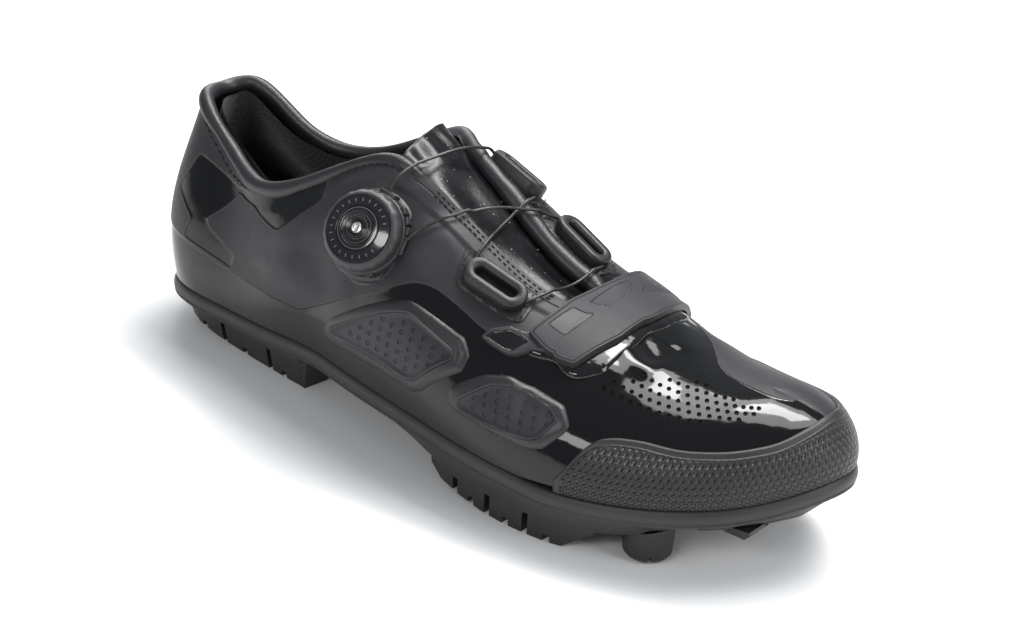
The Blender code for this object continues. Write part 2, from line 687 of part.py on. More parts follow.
def build_stud(name, y, plate):
    """A round toe stud with notches across its foot."""
    x = share(0.838, SHOE_LENGTH)
    rings = []
    top = float(underside(x)) + 2 * TREAD_ROOT
    low = STUD_BOTTOM
    for z, radius in ((low, 0.86), (2 * low, 0.97), ((low + top) / 2, 1.0), (top, 1.0)):
        ring = []
        for k in range(24):
            angle = math.tau * k / 24
            reach = radius * STUD_RADIUS
            ring.append((x + reach * math.cos(angle), y + reach * math.sin(angle), z))
        rings.append(ring)
    stud = add_loft(name, rings, rubber_grey, smooth=30)
    cutters = []
    for quarter in (0, 1):
        turn = Matrix.Rotation(math.radians(40 + 90 * quarter), 4, "Z")
        size = (STUD_RADIUS * 3, STUD_NOTCH, 2 * STUD_NOTCH_DEPTH)
        cutters.append(add_box("notch", (x, y, STUD_BOTTOM), size, turn))
    carve(stud, cutters + [lowered_plate(plate, CLEARANCE)])
    return stud


# The toe cap's top edge: v round the toe, and the height it reaches
CAP_EDGE = [
    (-0.306, 0.05), (-0.266, 0.34), (-0.230, 0.39), (-0.185, 0.405), (-0.128, 0.42), (-0.071, 0.50),
    (-0.030, 0.59), (0.000, 0.60), (0.030, 0.57), (0.071, 0.47), (0.128, 0.41), (0.185, 0.405),
    (0.230, 0.40), (0.266, 0.36), (0.306, 0.05),
]


def cap_top(v):
    """Height of the toe cap's edge at v."""
    rows = np.array(CAP_EDGE, float)
    return np.interp(v, rows[:, 0], rows[:, 1])


def build_toe_cap():
    """The rubber toe bumper, a shell over the upper down to the sole."""
    step = 2.0 / STATIONS
    lattice = np.arange(-11, 12) * step
    v = np.sort(np.concatenate([lattice, [-10.67 * step, -10.33 * step, 10.33 * step, 10.67 * step]]))
    columns = []
    for value in v:
        t = np.linspace(0.0, 1.0, 6) * cap_top(value)
        points = skin([value], t, SEAT + CLEARANCE / 2)[0]
        points[0, 2] += 2 * CLEARANCE
        columns.append(points)
    return add_sheet("toe_cap", np.array(columns), CAP_THICKNESS, bumper_black)


def build_collar_lining():
    """The padded lining inside the collar, rounded over at its top."""
    step = 2.0 / STATIONS
    v = 1.0 + np.arange(-11, 12) * step
    fade = np.clip(np.cos(np.pi * (v - 1.0) / (v[-1] - v[0])), 0.0, 1.0) ** 0.35
    gap = WALL + 2 * CLEARANCE
    rows = (0.5, 0.6, 0.7, 0.8, 0.9)
    padding = (0.30, 0.55, 0.75, 0.90, 1.0)
    rings = []
    for value, fullness in zip(v, fade):
        pad = COLLAR_PAD * (0.35 + 0.65 * fullness)
        outer = [skin([value], [t], -gap)[0, 0] for t in rows]
        lip = skin([value], [0.975], -gap)[0, 0]
        crown = skin([value], [1.0], -gap - pad * 0.45)[0, 0] + np.array([0, 0, WALL * 0.4])
        back = skin([value], [0.975], -gap - pad)[0, 0]
        inner = [skin([value], [t], -gap - pad * k)[0, 0] for t, k in zip(rows[::-1], padding[::-1])]
        rings.append(outer + [lip, crown, back] + inner)
    return add_loft("collar_lining", rings, lining_black, smooth=60)


# The corners of the tongue's free edge, outer then inner: x as a share of SHOE_LENGTH, y of BALL_WIDTH
# and the height above the sole's edge of INSTEP_RISE
TONGUE_CORNERS = ((0.402, -0.145, 1.015), (0.374, 0.138, 1.046))
TONGUE_ARCH = 0.0018
TONGUE_STATIONS = (0.375, 0.41, 0.45, 0.49, 0.53, 0.57, 0.61, 0.645)


def tongue_row(station, tuck):
    """Points across the tongue: under the outer edge, over the gap, under the inner edge."""
    gap = WALL + CLEARANCE * 1.7
    outer = [skin([station], [t], -gap)[0, 0] for t in (1 - tuck, 1 - tuck / 2, 1.0)]
    inner = [skin([2 - station], [t], -gap)[0, 0] for t in (1.0, 1 - tuck / 2, 1 - tuck)]
    start, end = outer[2], inner[0]
    span = np.linalg.norm(end - start)
    leave = outer[2] - outer[1]
    arrive = inner[1] - inner[0]
    leave = leave / np.linalg.norm(leave) * span * 0.8
    arrive = arrive / np.linalg.norm(arrive) * span * 0.8
    between = []
    for u in (0.2, 0.4, 0.6, 0.8):
        a = 2 * u**3 - 3 * u**2 + 1
        b = u**3 - 2 * u**2 + u
        c = -2 * u**3 + 3 * u**2
        d = u**3 - u**2
        between.append(a * start + b * leave + c * end + d * arrive)
    return np.array(outer + between + inner)


def build_tongue():
    """The tongue under the throat, with its free top edge standing above the collar."""
    rows = [tongue_row(station, 0.20) for station in TONGUE_STATIONS]
    across = np.linspace(0.0, 1.0, len(rows[-1]))
    last = rows[-1][2:-2]
    last = np.stack([np.interp(across, np.linspace(0.0, 1.0, len(last)), last[:, k]) for k in range(3)], axis=1)
    scale = np.array([SHOE_LENGTH, BALL_WIDTH, INSTEP_RISE])
    start, end = (np.array(corner) * scale + (0.0, 0.0, EDGE_HEIGHT) for corner in TONGUE_CORNERS)
    edge = start + (end - start) * across[:, None]
    edge[:, 2] += TONGUE_ARCH * np.sin(np.pi * across)
    free = [last + (edge - last) * reach for reach in (0.28, 0.64, 1.0)]
    grid = np.array(rows + free)
    return add_sheet("tongue", grid, -TONGUE_THICKNESS, gloss_black)


# The strap's edges: place over the top (1 at the crest, 2 at the inner edge), toe side, heel side
STRAP_EDGES = np.array([
    (0.64, 0.342, 0.408), (0.85, 0.317, 0.402), (1.05, 0.313, 0.400), (1.22, 0.326, 0.408),
    (1.41, 0.346, 0.421), (1.65, 0.370, 0.438), (1.92, 0.390, 0.452),
])


def strap_stations(place, shares):
    """Stations across the strap at a place over the top, from its toe side to its heel side."""
    toe_side, heel_side = (np.interp(place, STRAP_EDGES[:, 0], STRAP_EDGES[:, k]) for k in (1, 2))
    return toe_side + (heel_side - toe_side) * shares


def strap_grid(shares, outer_t, lift):
    """Points along the strap from its outer end, over the crest, down the inner side."""
    rows = []
    for t in outer_t:
        rows.append([skin([v], [t], lift)[0, 0] for v in strap_stations(t, shares)])
    for t in (0.94, 0.85, 0.76, 0.67, 0.58, 0.48, 0.38, 0.28, 0.18, 0.08):
        rows.append([skin([2 - v], [t], lift)[0, 0] for v in strap_stations(2 - t, shares)])
    return np.array(rows)


STRAP_LANDING = [
    (0.326, 0.58), (0.318, 0.70), (0.316, 0.88), (0.345, 0.90), (0.402, 0.90), (0.405, 0.70),
    (0.36, 0.60),
]


def build_strap():
    """The forefoot strap and the landing that it closes on."""
    shares = np.array([0.0, 0.27, 0.63, 1.0])
    slant = np.array([0.0, 0.25, 0.7, 1.0])
    lift = SEAT * 2 + STRAP_BASE
    rows = strap_grid(shares, (0.64, 0.70, 0.78, 0.86, 0.94), lift)
    for k, v in enumerate(strap_stations(0.64, shares)):
        rows[0, k] = skin([v], [0.598 + 0.09 * slant[k]], lift)[0, 0]
    strap = add_sheet("forefoot_strap", rows, STRAP_THICKNESS, matte_black)
    height = SEAT + STRAP_BASE - CLEARANCE / 3
    rings = [(1.0, height), (0.75, height), (0.5, height), (0.25, height)]
    landing_piece = add_patch("strap_landing", resample(STRAP_LANDING, 0.055), rings, gloss_black)
    return strap, landing_piece


def build_pull_tab():
    """The stiff pull tab ahead of the strap's outer end."""
    corners = [(0.449, 0.545), (0.436, 0.650), (0.410, 0.672), (0.372, 0.590), (0.402, 0.545)]
    top = SEAT + PAD_THICKNESS
    rings = [(1.0, top * 0.6), (0.92, top), (0.62, top), (0.56, top * 0.8), (0.28, top * 0.8)]
    return add_patch("strap_pull_tab", resample(corners, 0.035), rings, gloss_black)


REAR_PAD = [
    (0.690, 0.150), (0.666, 0.225), (0.565, 0.419), (0.519, 0.455), (0.461, 0.469), (0.519, 0.113),
    (0.675, 0.100),
]
FRONT_PAD = [
    (0.465, 0.206), (0.426, 0.406), (0.400, 0.452), (0.324, 0.444), (0.310, 0.369), (0.341, 0.181),
    (0.451, 0.131),
]


def build_side_pad(name, corners):
    """A raised side panel with a rounded border."""
    edge = SEAT + PAD_THICKNESS
    low = SEAT + PAD_THICKNESS * 0.4
    field = edge * 0.7
    rings = [(1.0, low), (0.93, edge), (0.78, edge), (0.71, field), (0.36, field)]
    return add_patch(name, resample(corners, 0.06), rings, matte_black)


def frame_at(v, t, turn_to, lift):
    """A matrix on the surface: z along the normal, x towards another place, lifted off it."""
    base = Vector(surface([v], [t])[0, 0])
    normal = Vector(FACING * normals([v], [t])[0, 0])
    ahead = Vector(surface([turn_to[0]], [turn_to[1]])[0, 0]) - base
    ahead = (ahead - normal * ahead.dot(normal)).normalized()
    side = normal.cross(ahead)
    turn = Matrix((ahead, side, normal)).transposed().to_4x4()
    return Matrix.Translation(base + normal * lift) @ turn


def ring_points(length, width, z, count=6):
    """A stadium outline in the XY plane: straight sides and round ends."""
    radius = width / 2
    half = length / 2 - radius
    points = []
    for end, start in ((1, -90), (-1, 90)):
        for k in range(count + 1):
            angle = math.radians(start + 180 * k / count)
            points.append(Vector((end * half + radius * math.cos(angle), radius * math.sin(angle), z)))
    return points


# Each lace guide's centre on the surface as (v, t), and a place that its long axis points to
GUIDES = {
    "lace_guide_outer": ((0.4675, 0.80), (0.44, 0.82)),
    "lace_guide_upper_inner": ((1.43, 0.84), (1.46, 0.85)),
    "lace_guide_lower_inner": ((1.5375, 0.856), (1.57, 0.865)),
}


def guide_frame(name):
    """The matrix that seats a lace guide on the upper."""
    place, toward = GUIDES[name]
    return frame_at(*place, toward, 0.0)


def build_guide(name):
    """A moulded lace guide: a long oval loop round a slot, seated on the upper."""
    rings = []
    bottom, top = -GUIDE_HEIGHT, GUIDE_HEIGHT
    profile = (
        (GUIDE_LENGTH, GUIDE_WIDTH, bottom), (GUIDE_LENGTH, GUIDE_WIDTH, top * 0.55),
        (GUIDE_LENGTH - GUIDE_EDGE * 2, GUIDE_WIDTH - GUIDE_EDGE * 2, top),
        (GUIDE_LENGTH - GUIDE_WIDTH + GUIDE_SLOT + GUIDE_EDGE, GUIDE_SLOT + GUIDE_EDGE, top),
        (GUIDE_LENGTH - GUIDE_WIDTH + GUIDE_SLOT, GUIDE_SLOT, top * 0.75),
        (GUIDE_LENGTH - GUIDE_WIDTH + GUIDE_SLOT, GUIDE_SLOT, bottom),
    )
    for length, width, z in profile:
        rings.append(ring_points(length, width, z))
    guide = add_loft(name, rings, matte_black, closed=True, smooth=35)
    guide.data.transform(guide_frame(name))
    carve(guide, [surface_form(CLEARANCE)])
    return guide


DIAL_PLACE = (0.6375, 0.594)
DIAL_AXIS = Vector((0.20, -0.83, 0.53)).normalized()
DIAL_EXITS = (84.0, 3.0)


def dial_frame(lift):
    """A matrix at the dial: z along its axis, lifted off the surface."""
    base = Vector(surface([DIAL_PLACE[0]], [DIAL_PLACE[1]])[0, 0])
    ahead = Vector((1, 0, 0))
    ahead = (ahead - DIAL_AXIS * ahead.dot(DIAL_AXIS)).normalized()
    side = DIAL_AXIS.cross(ahead)
    turn = Matrix((ahead, side, DIAL_AXIS)).transposed().to_4x4()
    return Matrix.Translation(base + DIAL_AXIS * lift) @ turn


def dial_exit_height():
    """Height along the dial's axis at which the laces leave its base."""
    return DIAL_BASE_HEIGHT - DIAL_EDGE - LACE_DIAMETER


def turned(name, profile, material, lift, segments=36, lobes=0, depth=0.0):
    """A round piece on the dial's axis from (radius, height) pairs, with optional lobes."""
    rings = []
    for radius, height in profile:
        ring = []
        for k in range(segments):
            angle = math.tau * k / segments
            wave = depth * (math.cos(lobes * angle) - 1) / 2 if lobes else 0.0
            r = radius + wave
            ring.append((r * math.cos(angle), r * math.sin(angle), height))
        rings.append(ring)
    piece = add_loft(name, rings, material, smooth=35)
    piece.data.transform(dial_frame(lift))
    return piece


def build_dial():
    """The lacing dial: base, knob, cap and screw, stacked along one axis."""
    base_top = DIAL_BASE_HEIGHT
    base_profile = (
        (DIAL_BASE_RADIUS, -2 * DIAL_BASE_HEIGHT), (DIAL_BASE_RADIUS, base_top - DIAL_EDGE),
        (DIAL_BASE_RADIUS - DIAL_EDGE, base_top),
    )
    base = turned("dial_base", base_profile, matte_black, 0.0)
    slots = []
    for angle in DIAL_EXITS:
        turn = Matrix.Rotation(math.radians(angle), 4, "Z")
        slot = add_box("exit", (0, 0, 0), (DIAL_BASE_RADIUS * 0.6, LACE_DIAMETER * 3.5, LACE_DIAMETER * 2))
        slot.data.transform(Matrix.Translation((DIAL_BASE_RADIUS, 0, dial_exit_height())))
        slot.data.transform(dial_frame(0.0) @ turn)
        slots.append(slot)
    carve(base, slots + [surface_form(CLEARANCE)])
    knob_low = base_top + CLEARANCE
    knob_profile = (
        (DIAL_RADIUS, knob_low), (DIAL_RADIUS, knob_low + DIAL_KNOB_HEIGHT * 0.72),
        (DIAL_RADIUS - DIAL_EDGE, knob_low + DIAL_KNOB_HEIGHT),
    )
    turned("dial_knob", knob_profile, knob_grey, 0.0, lobes=12, depth=KNOB_GROOVE)
    cap_low = knob_low + DIAL_KNOB_HEIGHT + CLEARANCE
    cap_profile = (
        (DIAL_CAP_RADIUS, cap_low), (DIAL_CAP_RADIUS, cap_low + DIAL_CAP_HEIGHT * 0.3),
        (DIAL_CAP_RADIUS * 0.78, cap_low + DIAL_CAP_HEIGHT * 0.8),
        (DIAL_CAP_RADIUS * 0.40, cap_low + DIAL_CAP_HEIGHT),
    )
    turned("dial_cap", cap_profile, gloss_black, 0.0, segments=30)
    screw_low = cap_low + DIAL_CAP_HEIGHT + CLEARANCE
    screw_top = screw_low + DIAL_SCREW_RADIUS * 0.4
    screw_profile = ((DIAL_SCREW_RADIUS, screw_low), (DIAL_SCREW_RADIUS * 0.8, screw_top))
    turned("dial_screw", screw_profile, steel, 0.0, 16)


def guide_mouth(name, end, side):
    """Where a lace meets a guide: end -1 towards the heel or 1 towards the toe, on one side."""
    reach = GUIDE_LENGTH / 2 - GUIDE_WIDTH / 2
    out = GUIDE_WIDTH / 2 + LACE_DIAMETER
    return guide_frame(name) @ Vector((end * reach, side * out, GUIDE_HEIGHT * 0.55))


def dial_mouth(angle):
    """Where a lace leaves the dial's base."""
    turn = math.radians(angle)
    reach = DIAL_BASE_RADIUS + LACE_DIAMETER
    height = dial_exit_height()
    return dial_frame(0.0) @ Vector((reach * math.cos(turn), reach * math.sin(turn), height))


def cover_points():
    """Points on the upper's outer face and the tongue's, which the laces run over."""
    v_outer = stations(0.38, 0.76, 40)
    t = np.linspace(0.45, 1.0, 24)
    clouds = [surface(v_outer, t).reshape(-1, 3), surface(2 - v_outer, t).reshape(-1, 3)]
    for station in stations(0.38, 0.645, 40):
        row = tongue_row(station, 0.10)
        for k in range(len(row) - 1):
            clouds.append(np.array([row[k] + (row[k + 1] - row[k]) * u for u in (0.0, 0.34, 0.67)]))
    return np.concatenate(clouds)


def taut_run(start, end, cover, crossing=None):
    """A lace pulled tight from start to end over the cover: the upper hull of what it crosses."""
    count = 25
    samples = []
    for k in range(count):
        u = k / (count - 1)
        point = start.lerp(end, u)
        height = -1.0
        if 0 < k < count - 1:
            gap = np.hypot(cover[:, 0] - point.x, cover[:, 1] - point.y)
            near = cover[gap < LACE_DIAMETER * 1.8]
            if len(near):
                height = float(near[:, 2].max()) + LACE_DIAMETER / 2 + 2 * CLEARANCE
            if crossing is not None and (point - crossing).to_2d().length < LACE_DIAMETER * 2:
                height = max(height, crossing.z + LACE_DIAMETER * 0.55)
        else:
            height = point.z
        samples.append((u, height))
    hull = []
    for u, z in samples:
        while len(hull) > 1:
            (u0, z0), (u1, z1) = hull[-2], hull[-1]
            if (z1 - z0) * (u - u0) <= (z - z0) * (u1 - u0):
                hull.pop()
            else:
                break
        hull.append((u, z))
    return [Vector((start.x + (end.x - start.x) * u, start.y + (end.y - start.y) * u, z)) for u, z in hull]


def height_at(run, point):
    """The height of a run of lace under or over a point, by its distance along the run."""
    first, last = run[0].to_2d(), run[-1].to_2d()
    line = last - first
    u = (point.to_2d() - first).dot(line) / line.length_squared
    shares = [(p.to_2d() - first).dot(line) / line.length_squared for p in run]
    return float(np.interp(u, shares, [p.z for p in run]))


def plan_crossing(a, b):
    """Where two runs of lace cross, seen from above, at the height of the first."""
    p, r = a[0].to_2d(), (a[-1] - a[0]).to_2d()
    q, s = b[0].to_2d(), (b[-1] - b[0]).to_2d()
    along = (q - p).cross(s) / r.cross(s)
    spot = p + r * along
    point = Vector((spot.x, spot.y, 0.0))
    point.z = height_at(a, point)
    return point


def build_laces():
    """The lace's runs outside the dial and the guides, the crossed pair joined."""
    cover = cover_points()
    upper_run = taut_run(
        dial_mouth(DIAL_EXITS[0]), guide_mouth("lace_guide_upper_inner", -1, -1), cover)
    down_run = taut_run(
        guide_mouth("lace_guide_upper_inner", 1, -1), guide_mouth("lace_guide_outer", -1, 1), cover)
    back_start = guide_mouth("lace_guide_lower_inner", -1, -1)
    back_end = dial_mouth(DIAL_EXITS[1])
    crossing = plan_crossing(down_run, [back_start, back_end])
    back_run = taut_run(back_start, back_end, cover, crossing)
    lower_run = taut_run(
        guide_mouth("lace_guide_outer", 1, 1), guide_mouth("lace_guide_lower_inner", 1, -1), cover)
    add_lace("lace_upper", upper_run)
    add_lace("lace_lower", lower_run)
    crossed = add_lace("lace_crossing", down_run)
    other = add_lace("lace_other", back_run)
    merge(crossed, other)


def add_lace(name, path):
    """A round lace along a path, its corners eased, as a mesh."""
    eased = [path[0]]
    for before, here, after in zip(path, path[1:], path[2:]):
        easing = min(LACE_DIAMETER, (here - before).length * 0.3, (after - here).length * 0.3)
        eased.append(here + (before - here).normalized() * easing)
        eased.append(here + (after - here).normalized() * easing)
    eased.append(path[-1])
    curve = bpy.data.curves.new(name, "CURVE")
    curve.dimensions = "3D"
    curve.bevel_depth = LACE_DIAMETER / 2
    curve.bevel_resolution = 2
    curve.use_fill_caps = True
    spline = curve.splines.new("POLY")
    spline.points.add(len(eased) - 1)
    for target, point in zip(spline.points, eased):
        target.co = (*point, 1.0)
    holder = bpy.data.objects.new(name + "_path", curve)
    bpy.context.collection.objects.link(holder)
    bpy.context.view_layer.update()
    evaluated = holder.evaluated_get(bpy.context.evaluated_depsgraph_get())
    mesh = bpy.data.meshes.new_from_object(evaluated)
    bpy.data.objects.remove(holder, do_unlink=True)
    builder = bmesh.new()
    builder.from_mesh(mesh)
    return finish_object(name, builder, lace_black, smooth=50)


def centre_on_floor():
    """Moves the shoe so that the middle of its box's floor is at the origin."""
    bpy.context.view_layer.update()
    graph = bpy.context.evaluated_depsgraph_get()
    low = Vector((1.0, 1.0, 1.0))
    high = -low
    for piece in SHOE.children:
        mesh = piece.evaluated_get(graph).to_mesh()
        for vertex in mesh.vertices:
            for axis in range(3):
                low[axis] = min(low[axis], vertex.co[axis])
                high[axis] = max(high[axis], vertex.co[axis])
    SHOE.location = (-(low.x + high.x) / 2, -(low.y + high.y) / 2, -low.z)


build_upper()
plate = build_sole_plate()
build_insole()
build_forefoot_tread("forefoot_tread_outer", True, plate)
build_forefoot_tread("forefoot_tread_inner", False, plate)
build_heel_tread(plate)
build_toe_lug("toe_lug_outer", share(-0.20, BALL_WIDTH), share(-0.08, BALL_WIDTH), plate)
build_toe_lug("toe_lug_inner", share(0.22, BALL_WIDTH), share(0.34, BALL_WIDTH), plate)
build_stud("toe_stud_outer", share(-0.27, BALL_WIDTH), plate)
build_stud("toe_stud_inner", share(0.35, BALL_WIDTH), plate)
build_toe_cap()
build_collar_lining()
build_tongue()
build_strap()
build_pull_tab()
build_side_pad("side_pad_rear", REAR_PAD)
build_side_pad("side_pad_front", FRONT_PAD)
build_dial()
for guide_name in GUIDES:
    build_guide(guide_name)
build_laces()
centre_on_floor()
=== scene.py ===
"""Looks for the cycling shoe: its visible surfaces are rebuilt finely on the last's surface.

A place on the upper is (v, t): v runs round the shoe, 0 at the toe, 1 at the heel and back to 2 along
the inner side; t runs up from the sole's edge, 0, to the top line, 1. Trim that crosses the top uses
(q, s) instead: q as v on the outer side, s from 0 at the outer edge over the crest, 1, to 2.
The treads, lugs, studs and the insole keep the part's own meshes.
"""
import math

import bmesh
import bpy
import numpy as np
from mathutils import Matrix, Vector
from mathutils.bvhtree import BVHTree


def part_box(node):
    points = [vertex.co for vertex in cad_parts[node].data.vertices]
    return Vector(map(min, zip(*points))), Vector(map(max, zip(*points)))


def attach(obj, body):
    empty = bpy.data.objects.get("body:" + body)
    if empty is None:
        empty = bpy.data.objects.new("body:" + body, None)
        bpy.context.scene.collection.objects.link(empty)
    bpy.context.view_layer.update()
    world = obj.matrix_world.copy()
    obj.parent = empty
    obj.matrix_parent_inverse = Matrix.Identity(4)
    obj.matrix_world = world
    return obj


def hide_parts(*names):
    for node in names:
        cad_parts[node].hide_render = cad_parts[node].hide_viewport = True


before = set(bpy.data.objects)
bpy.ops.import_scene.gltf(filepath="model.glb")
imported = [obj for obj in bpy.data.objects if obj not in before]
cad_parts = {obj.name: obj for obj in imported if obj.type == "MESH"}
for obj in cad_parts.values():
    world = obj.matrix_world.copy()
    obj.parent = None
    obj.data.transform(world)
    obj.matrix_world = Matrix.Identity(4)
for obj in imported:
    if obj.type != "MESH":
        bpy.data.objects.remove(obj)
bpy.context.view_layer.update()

# The last, as in the part's source. Lengths in metres
LENGTH, WIDTH, EDGE, RISE, WALL = 0.290, 0.100, 0.0225, 0.075, 0.0020
# A section, lengths as shares of those above: its place q; the sole edge's x, outer y, inner y and height;
# the top line's x, outer y, inner y and rise; the wall's lean in degrees and its lower arm; the top's
# droop in degrees on the outer and the inner side, and its upper arm
SECTIONS = np.array([
    (0.00, 0.9945, 0.120, 0.120, 1.55, 0.903, 0.080, 0.080, 0.273, 6.0, 0.62, 0, 0, 0.64),
    (0.06, 0.9655, -0.092, 0.292, 1.38, 0.897, 0.080, 0.080, 0.330, 7.5, 0.62, 0, 0, 0.64),
    (0.13, 0.9140, -0.277, 0.408, 1.22, 0.872, 0.070, 0.070, 0.370, 8.0, 0.60, 0, 0, 0.62),
    (0.22, 0.8330, -0.407, 0.467, 1.05, 0.800, 0.050, 0.050, 0.425, 8.0, 0.58, 0, 0, 0.60),
    (0.33, 0.7310, -0.489, 0.504, 0.965, 0.716, -0.065, 0.100, 0.535, 8.0, 0.57, 0, -2, 0.59),
    (0.44, 0.622, -0.495, 0.490, 0.985, 0.613, -0.130, 0.065, 0.625, 8.5, 0.58, 4, -8, 0.61),
    (0.55, 0.511, -0.460, 0.400, 1.02, 0.501, -0.168, 0.075, 0.850, 8.5, 0.54, 16, -9, 0.58),
    (0.66, 0.397, -0.405, 0.315, 1.005, 0.423, -0.173, 0.143, 0.980, 6.0, 0.46, 30, 16, 0.47),
    (0.72, 0.339, -0.375, 0.300, 1.00, 0.370, -0.203, 0.230, 0.970, 6.0, 0.42, 45, 40, 0.42),
    (0.79, 0.262, -0.360, 0.315, 0.935, 0.251, -0.295, 0.262, 0.735, 5.0, 0.40, 70, 68, 0.40),
    (0.88, 0.147, -0.335, 0.325, 0.865, 0.133, -0.225, 0.162, 0.780, 7.0, 0.40, 76, 76, 0.40),
    (0.95, 0.039, -0.252, 0.240, 0.84, 0.055, -0.156, 0.112, 0.955, 12.0, 0.43, 74, 76, 0.40),
    (1.00, 0.007, 0.000, 0.000, 0.78, 0.030, 0.000, 0.000, 0.960, 12.0, 0.48, 82, 82, 0.40),
])
STUD = np.array([0.838 * LENGTH, -0.027])
low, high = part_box("toe_stud_outer")
OFFSET = np.array([(low.x + high.x) / 2 - STUD[0], (low.y + high.y) / 2 - STUD[1], 0.0])


def smoothstep(a, b, x):
    u = np.clip((np.asarray(x, float) - a) / (b - a), 0.0, 1.0)
    return u * u * (3.0 - 2.0 * u)


def bump(x, centre, width):
    return np.exp(-(((np.asarray(x, float) - centre) / width) ** 2))


def quarter_round(x):
    """0 up to 0, 1 from 1 on, and a quarter circle between."""
    return np.sqrt(1 - (1 - np.clip(x, 0, 1)) ** 2)


def lengths(vectors):
    return np.linalg.norm(vectors, axis=-1)


def unit(vectors):
    return vectors / np.maximum(lengths(vectors), 1e-12)[..., None]


def circle(steps):
    """Angles once round, in equal steps."""
    return np.linspace(0, math.tau, steps, endpoint=False)


def run_along(points):
    """How far along a line each of its points lies."""
    return np.concatenate([[0.0], np.cumsum(lengths(np.diff(points, axis=0)))])


def bezier(start, one, two, end, u):
    """Places u on the cubic curve from start to end, pulled by one and two."""
    return (1 - u) ** 3 * start + 3 * (1 - u) ** 2 * u * one + 3 * (1 - u) * u**2 * two + u**3 * end


def folded(v):
    """How far a place is from the toe, the same on both sides: 0 at the toe, 1 at the heel."""
    v = np.mod(v, 2.0)
    return np.minimum(v, 2.0 - v)


def unfolded(q, s):
    """The (v, t) of a place (q, s)."""
    return np.where(s > 1, 2 - q, q), np.where(s > 1, 2 - s, s)


def loop_table():
    c = SECTIONS.T

    def side(edge_y, top_y, droop):
        return np.stack([
            c[1] * LENGTH, c[edge_y] * WIDTH, c[4] * EDGE, c[5] * LENGTH, c[top_y] * WIDTH,
            c[4] * EDGE + c[8] * RISE, c[9], c[10], c[droop], c[13]], axis=1)

    knots = np.concatenate([c[0], 2 - c[0][-2:0:-1]])
    return knots, np.concatenate([side(2, 6, 11), side(3, 7, 12)[-2:0:-1]])


KNOTS, LOOP = loop_table()
SPANS = np.diff(np.append(KNOTS, 2.0))


def spline_bend():
    n = len(KNOTS)
    matrix, right = np.zeros((n, n)), np.zeros((n, LOOP.shape[1]))
    for i in range(n):
        a, b = SPANS[i - 1], SPANS[i]
        matrix[i, (i - 1) % n] += a / 6
        matrix[i, i] += (a + b) / 3
        matrix[i, (i + 1) % n] += b / 6
        right[i] = (LOOP[(i + 1) % n] - LOOP[i]) / b - (LOOP[i] - LOOP[i - 1]) / a
    return np.linalg.solve(matrix, right)


BEND = spline_bend()


def read_spline(at):
    at = np.mod(at, 2.0)
    k = np.clip(np.searchsorted(KNOTS, at, side="right") - 1, 0, len(KNOTS) - 1)
    n = (k + 1) % len(KNOTS)
    h = SPANS[k][:, None]
    a, b = (KNOTS[k] + SPANS[k] - at)[:, None], (at - KNOTS[k])[:, None]
    curve = (BEND[k] * a**3 + BEND[n] * b**3) / (6 * h)
    return curve + (LOOP[k] / h - BEND[k] * h / 6) * a + (LOOP[n] / h - BEND[n] * h / 6) * b


# Where the throat opens: up to CREST_END the two top lines are one
CREST_END, THROAT_OPENING = 0.37, 0.07
NUDGE = 1e-3


def rows_at(v):
    rows, other = read_spline(v), read_spline(2.0 - v)
    middle = (rows[:, 4] + other[:, 4]) / 2
    rows[:, 4] = middle + (rows[:, 4] - middle) * quarter_round((folded(v) - CREST_END) / THROAT_OPENING)
    return rows


def edge_normal(v):
    along = rows_at(v + NUDGE)[:, :2] - rows_at(v - NUDGE)[:, :2]
    return SIDE * unit(np.stack([along[:, 1], -along[:, 0]], axis=1))


SIDE = 1.0
if edge_normal(np.array([0.5]))[0, 1] > 0:
    SIDE = -1.0


# The soft bulge behind the dial: its place, its spread and its height
BULGE, BULGE_SPREAD, BULGE_HEIGHT = (0.715, 0.55), (0.060, 0.28), 0.0035


def surf(v, t):
    """Points of the upper's outer face in the part's own frame, one for each v and t."""
    v, t = np.asarray(v, float), np.asarray(t, float)
    rows = rows_at(v)
    along = rows_at(v + NUDGE)[:, 3:6] - rows_at(v - NUDGE)[:, 3:6]
    foot, top = rows[:, :3], rows[:, 3:6]
    lean, droop = np.radians(rows[:, 6]), np.radians(rows[:, 8])
    out = edge_normal(v)
    rising = np.concatenate([out * np.sin(lean)[:, None], np.cos(lean)[:, None]], axis=1)
    plan = foot[:, :2] - top[:, :2]
    width = lengths(plan)
    way = plan / np.maximum(width, 1e-9)[:, None]
    steep = np.abs(along[:, 0]) > 1e-8
    slope = np.where(steep, along[:, 2] / np.where(steep, along[:, 0], 1.0), 0.0)
    slope = np.clip(slope, -0.5, 0.1) * (1 - np.clip(rows[:, 8] / 25, 0, 1))
    slope = slope * smoothstep(0.07, 0.17, folded(v))
    fall = -np.sin(droop) + slope * way[:, 0] * np.cos(droop)
    falling = np.concatenate([way * np.cos(droop)[:, None], fall[:, None]], axis=1)
    height = top[:, 2] - foot[:, 2]
    reach = np.sqrt(width**2 * np.cos(droop) ** 2 + height**2 * np.sin(droop) ** 2)
    low_arm = foot + rising * (rows[:, 7] * height)[:, None]
    high_arm = top + falling * (rows[:, 9] * reach)[:, None]
    points = bezier(foot, low_arm, high_arm, top, t[:, None])
    swell = np.exp(-((v - BULGE[0]) / BULGE_SPREAD[0]) ** 2 / 2)
    swell = swell * np.exp(-((t - BULGE[1]) / BULGE_SPREAD[1]) ** 2 / 2)
    swell = swell * np.clip((1 - t) * 6, 0, 1) * np.clip(t * 6, 0, 1)
    points[:, :2] += out * (BULGE_HEIGHT * swell)[:, None]
    return points


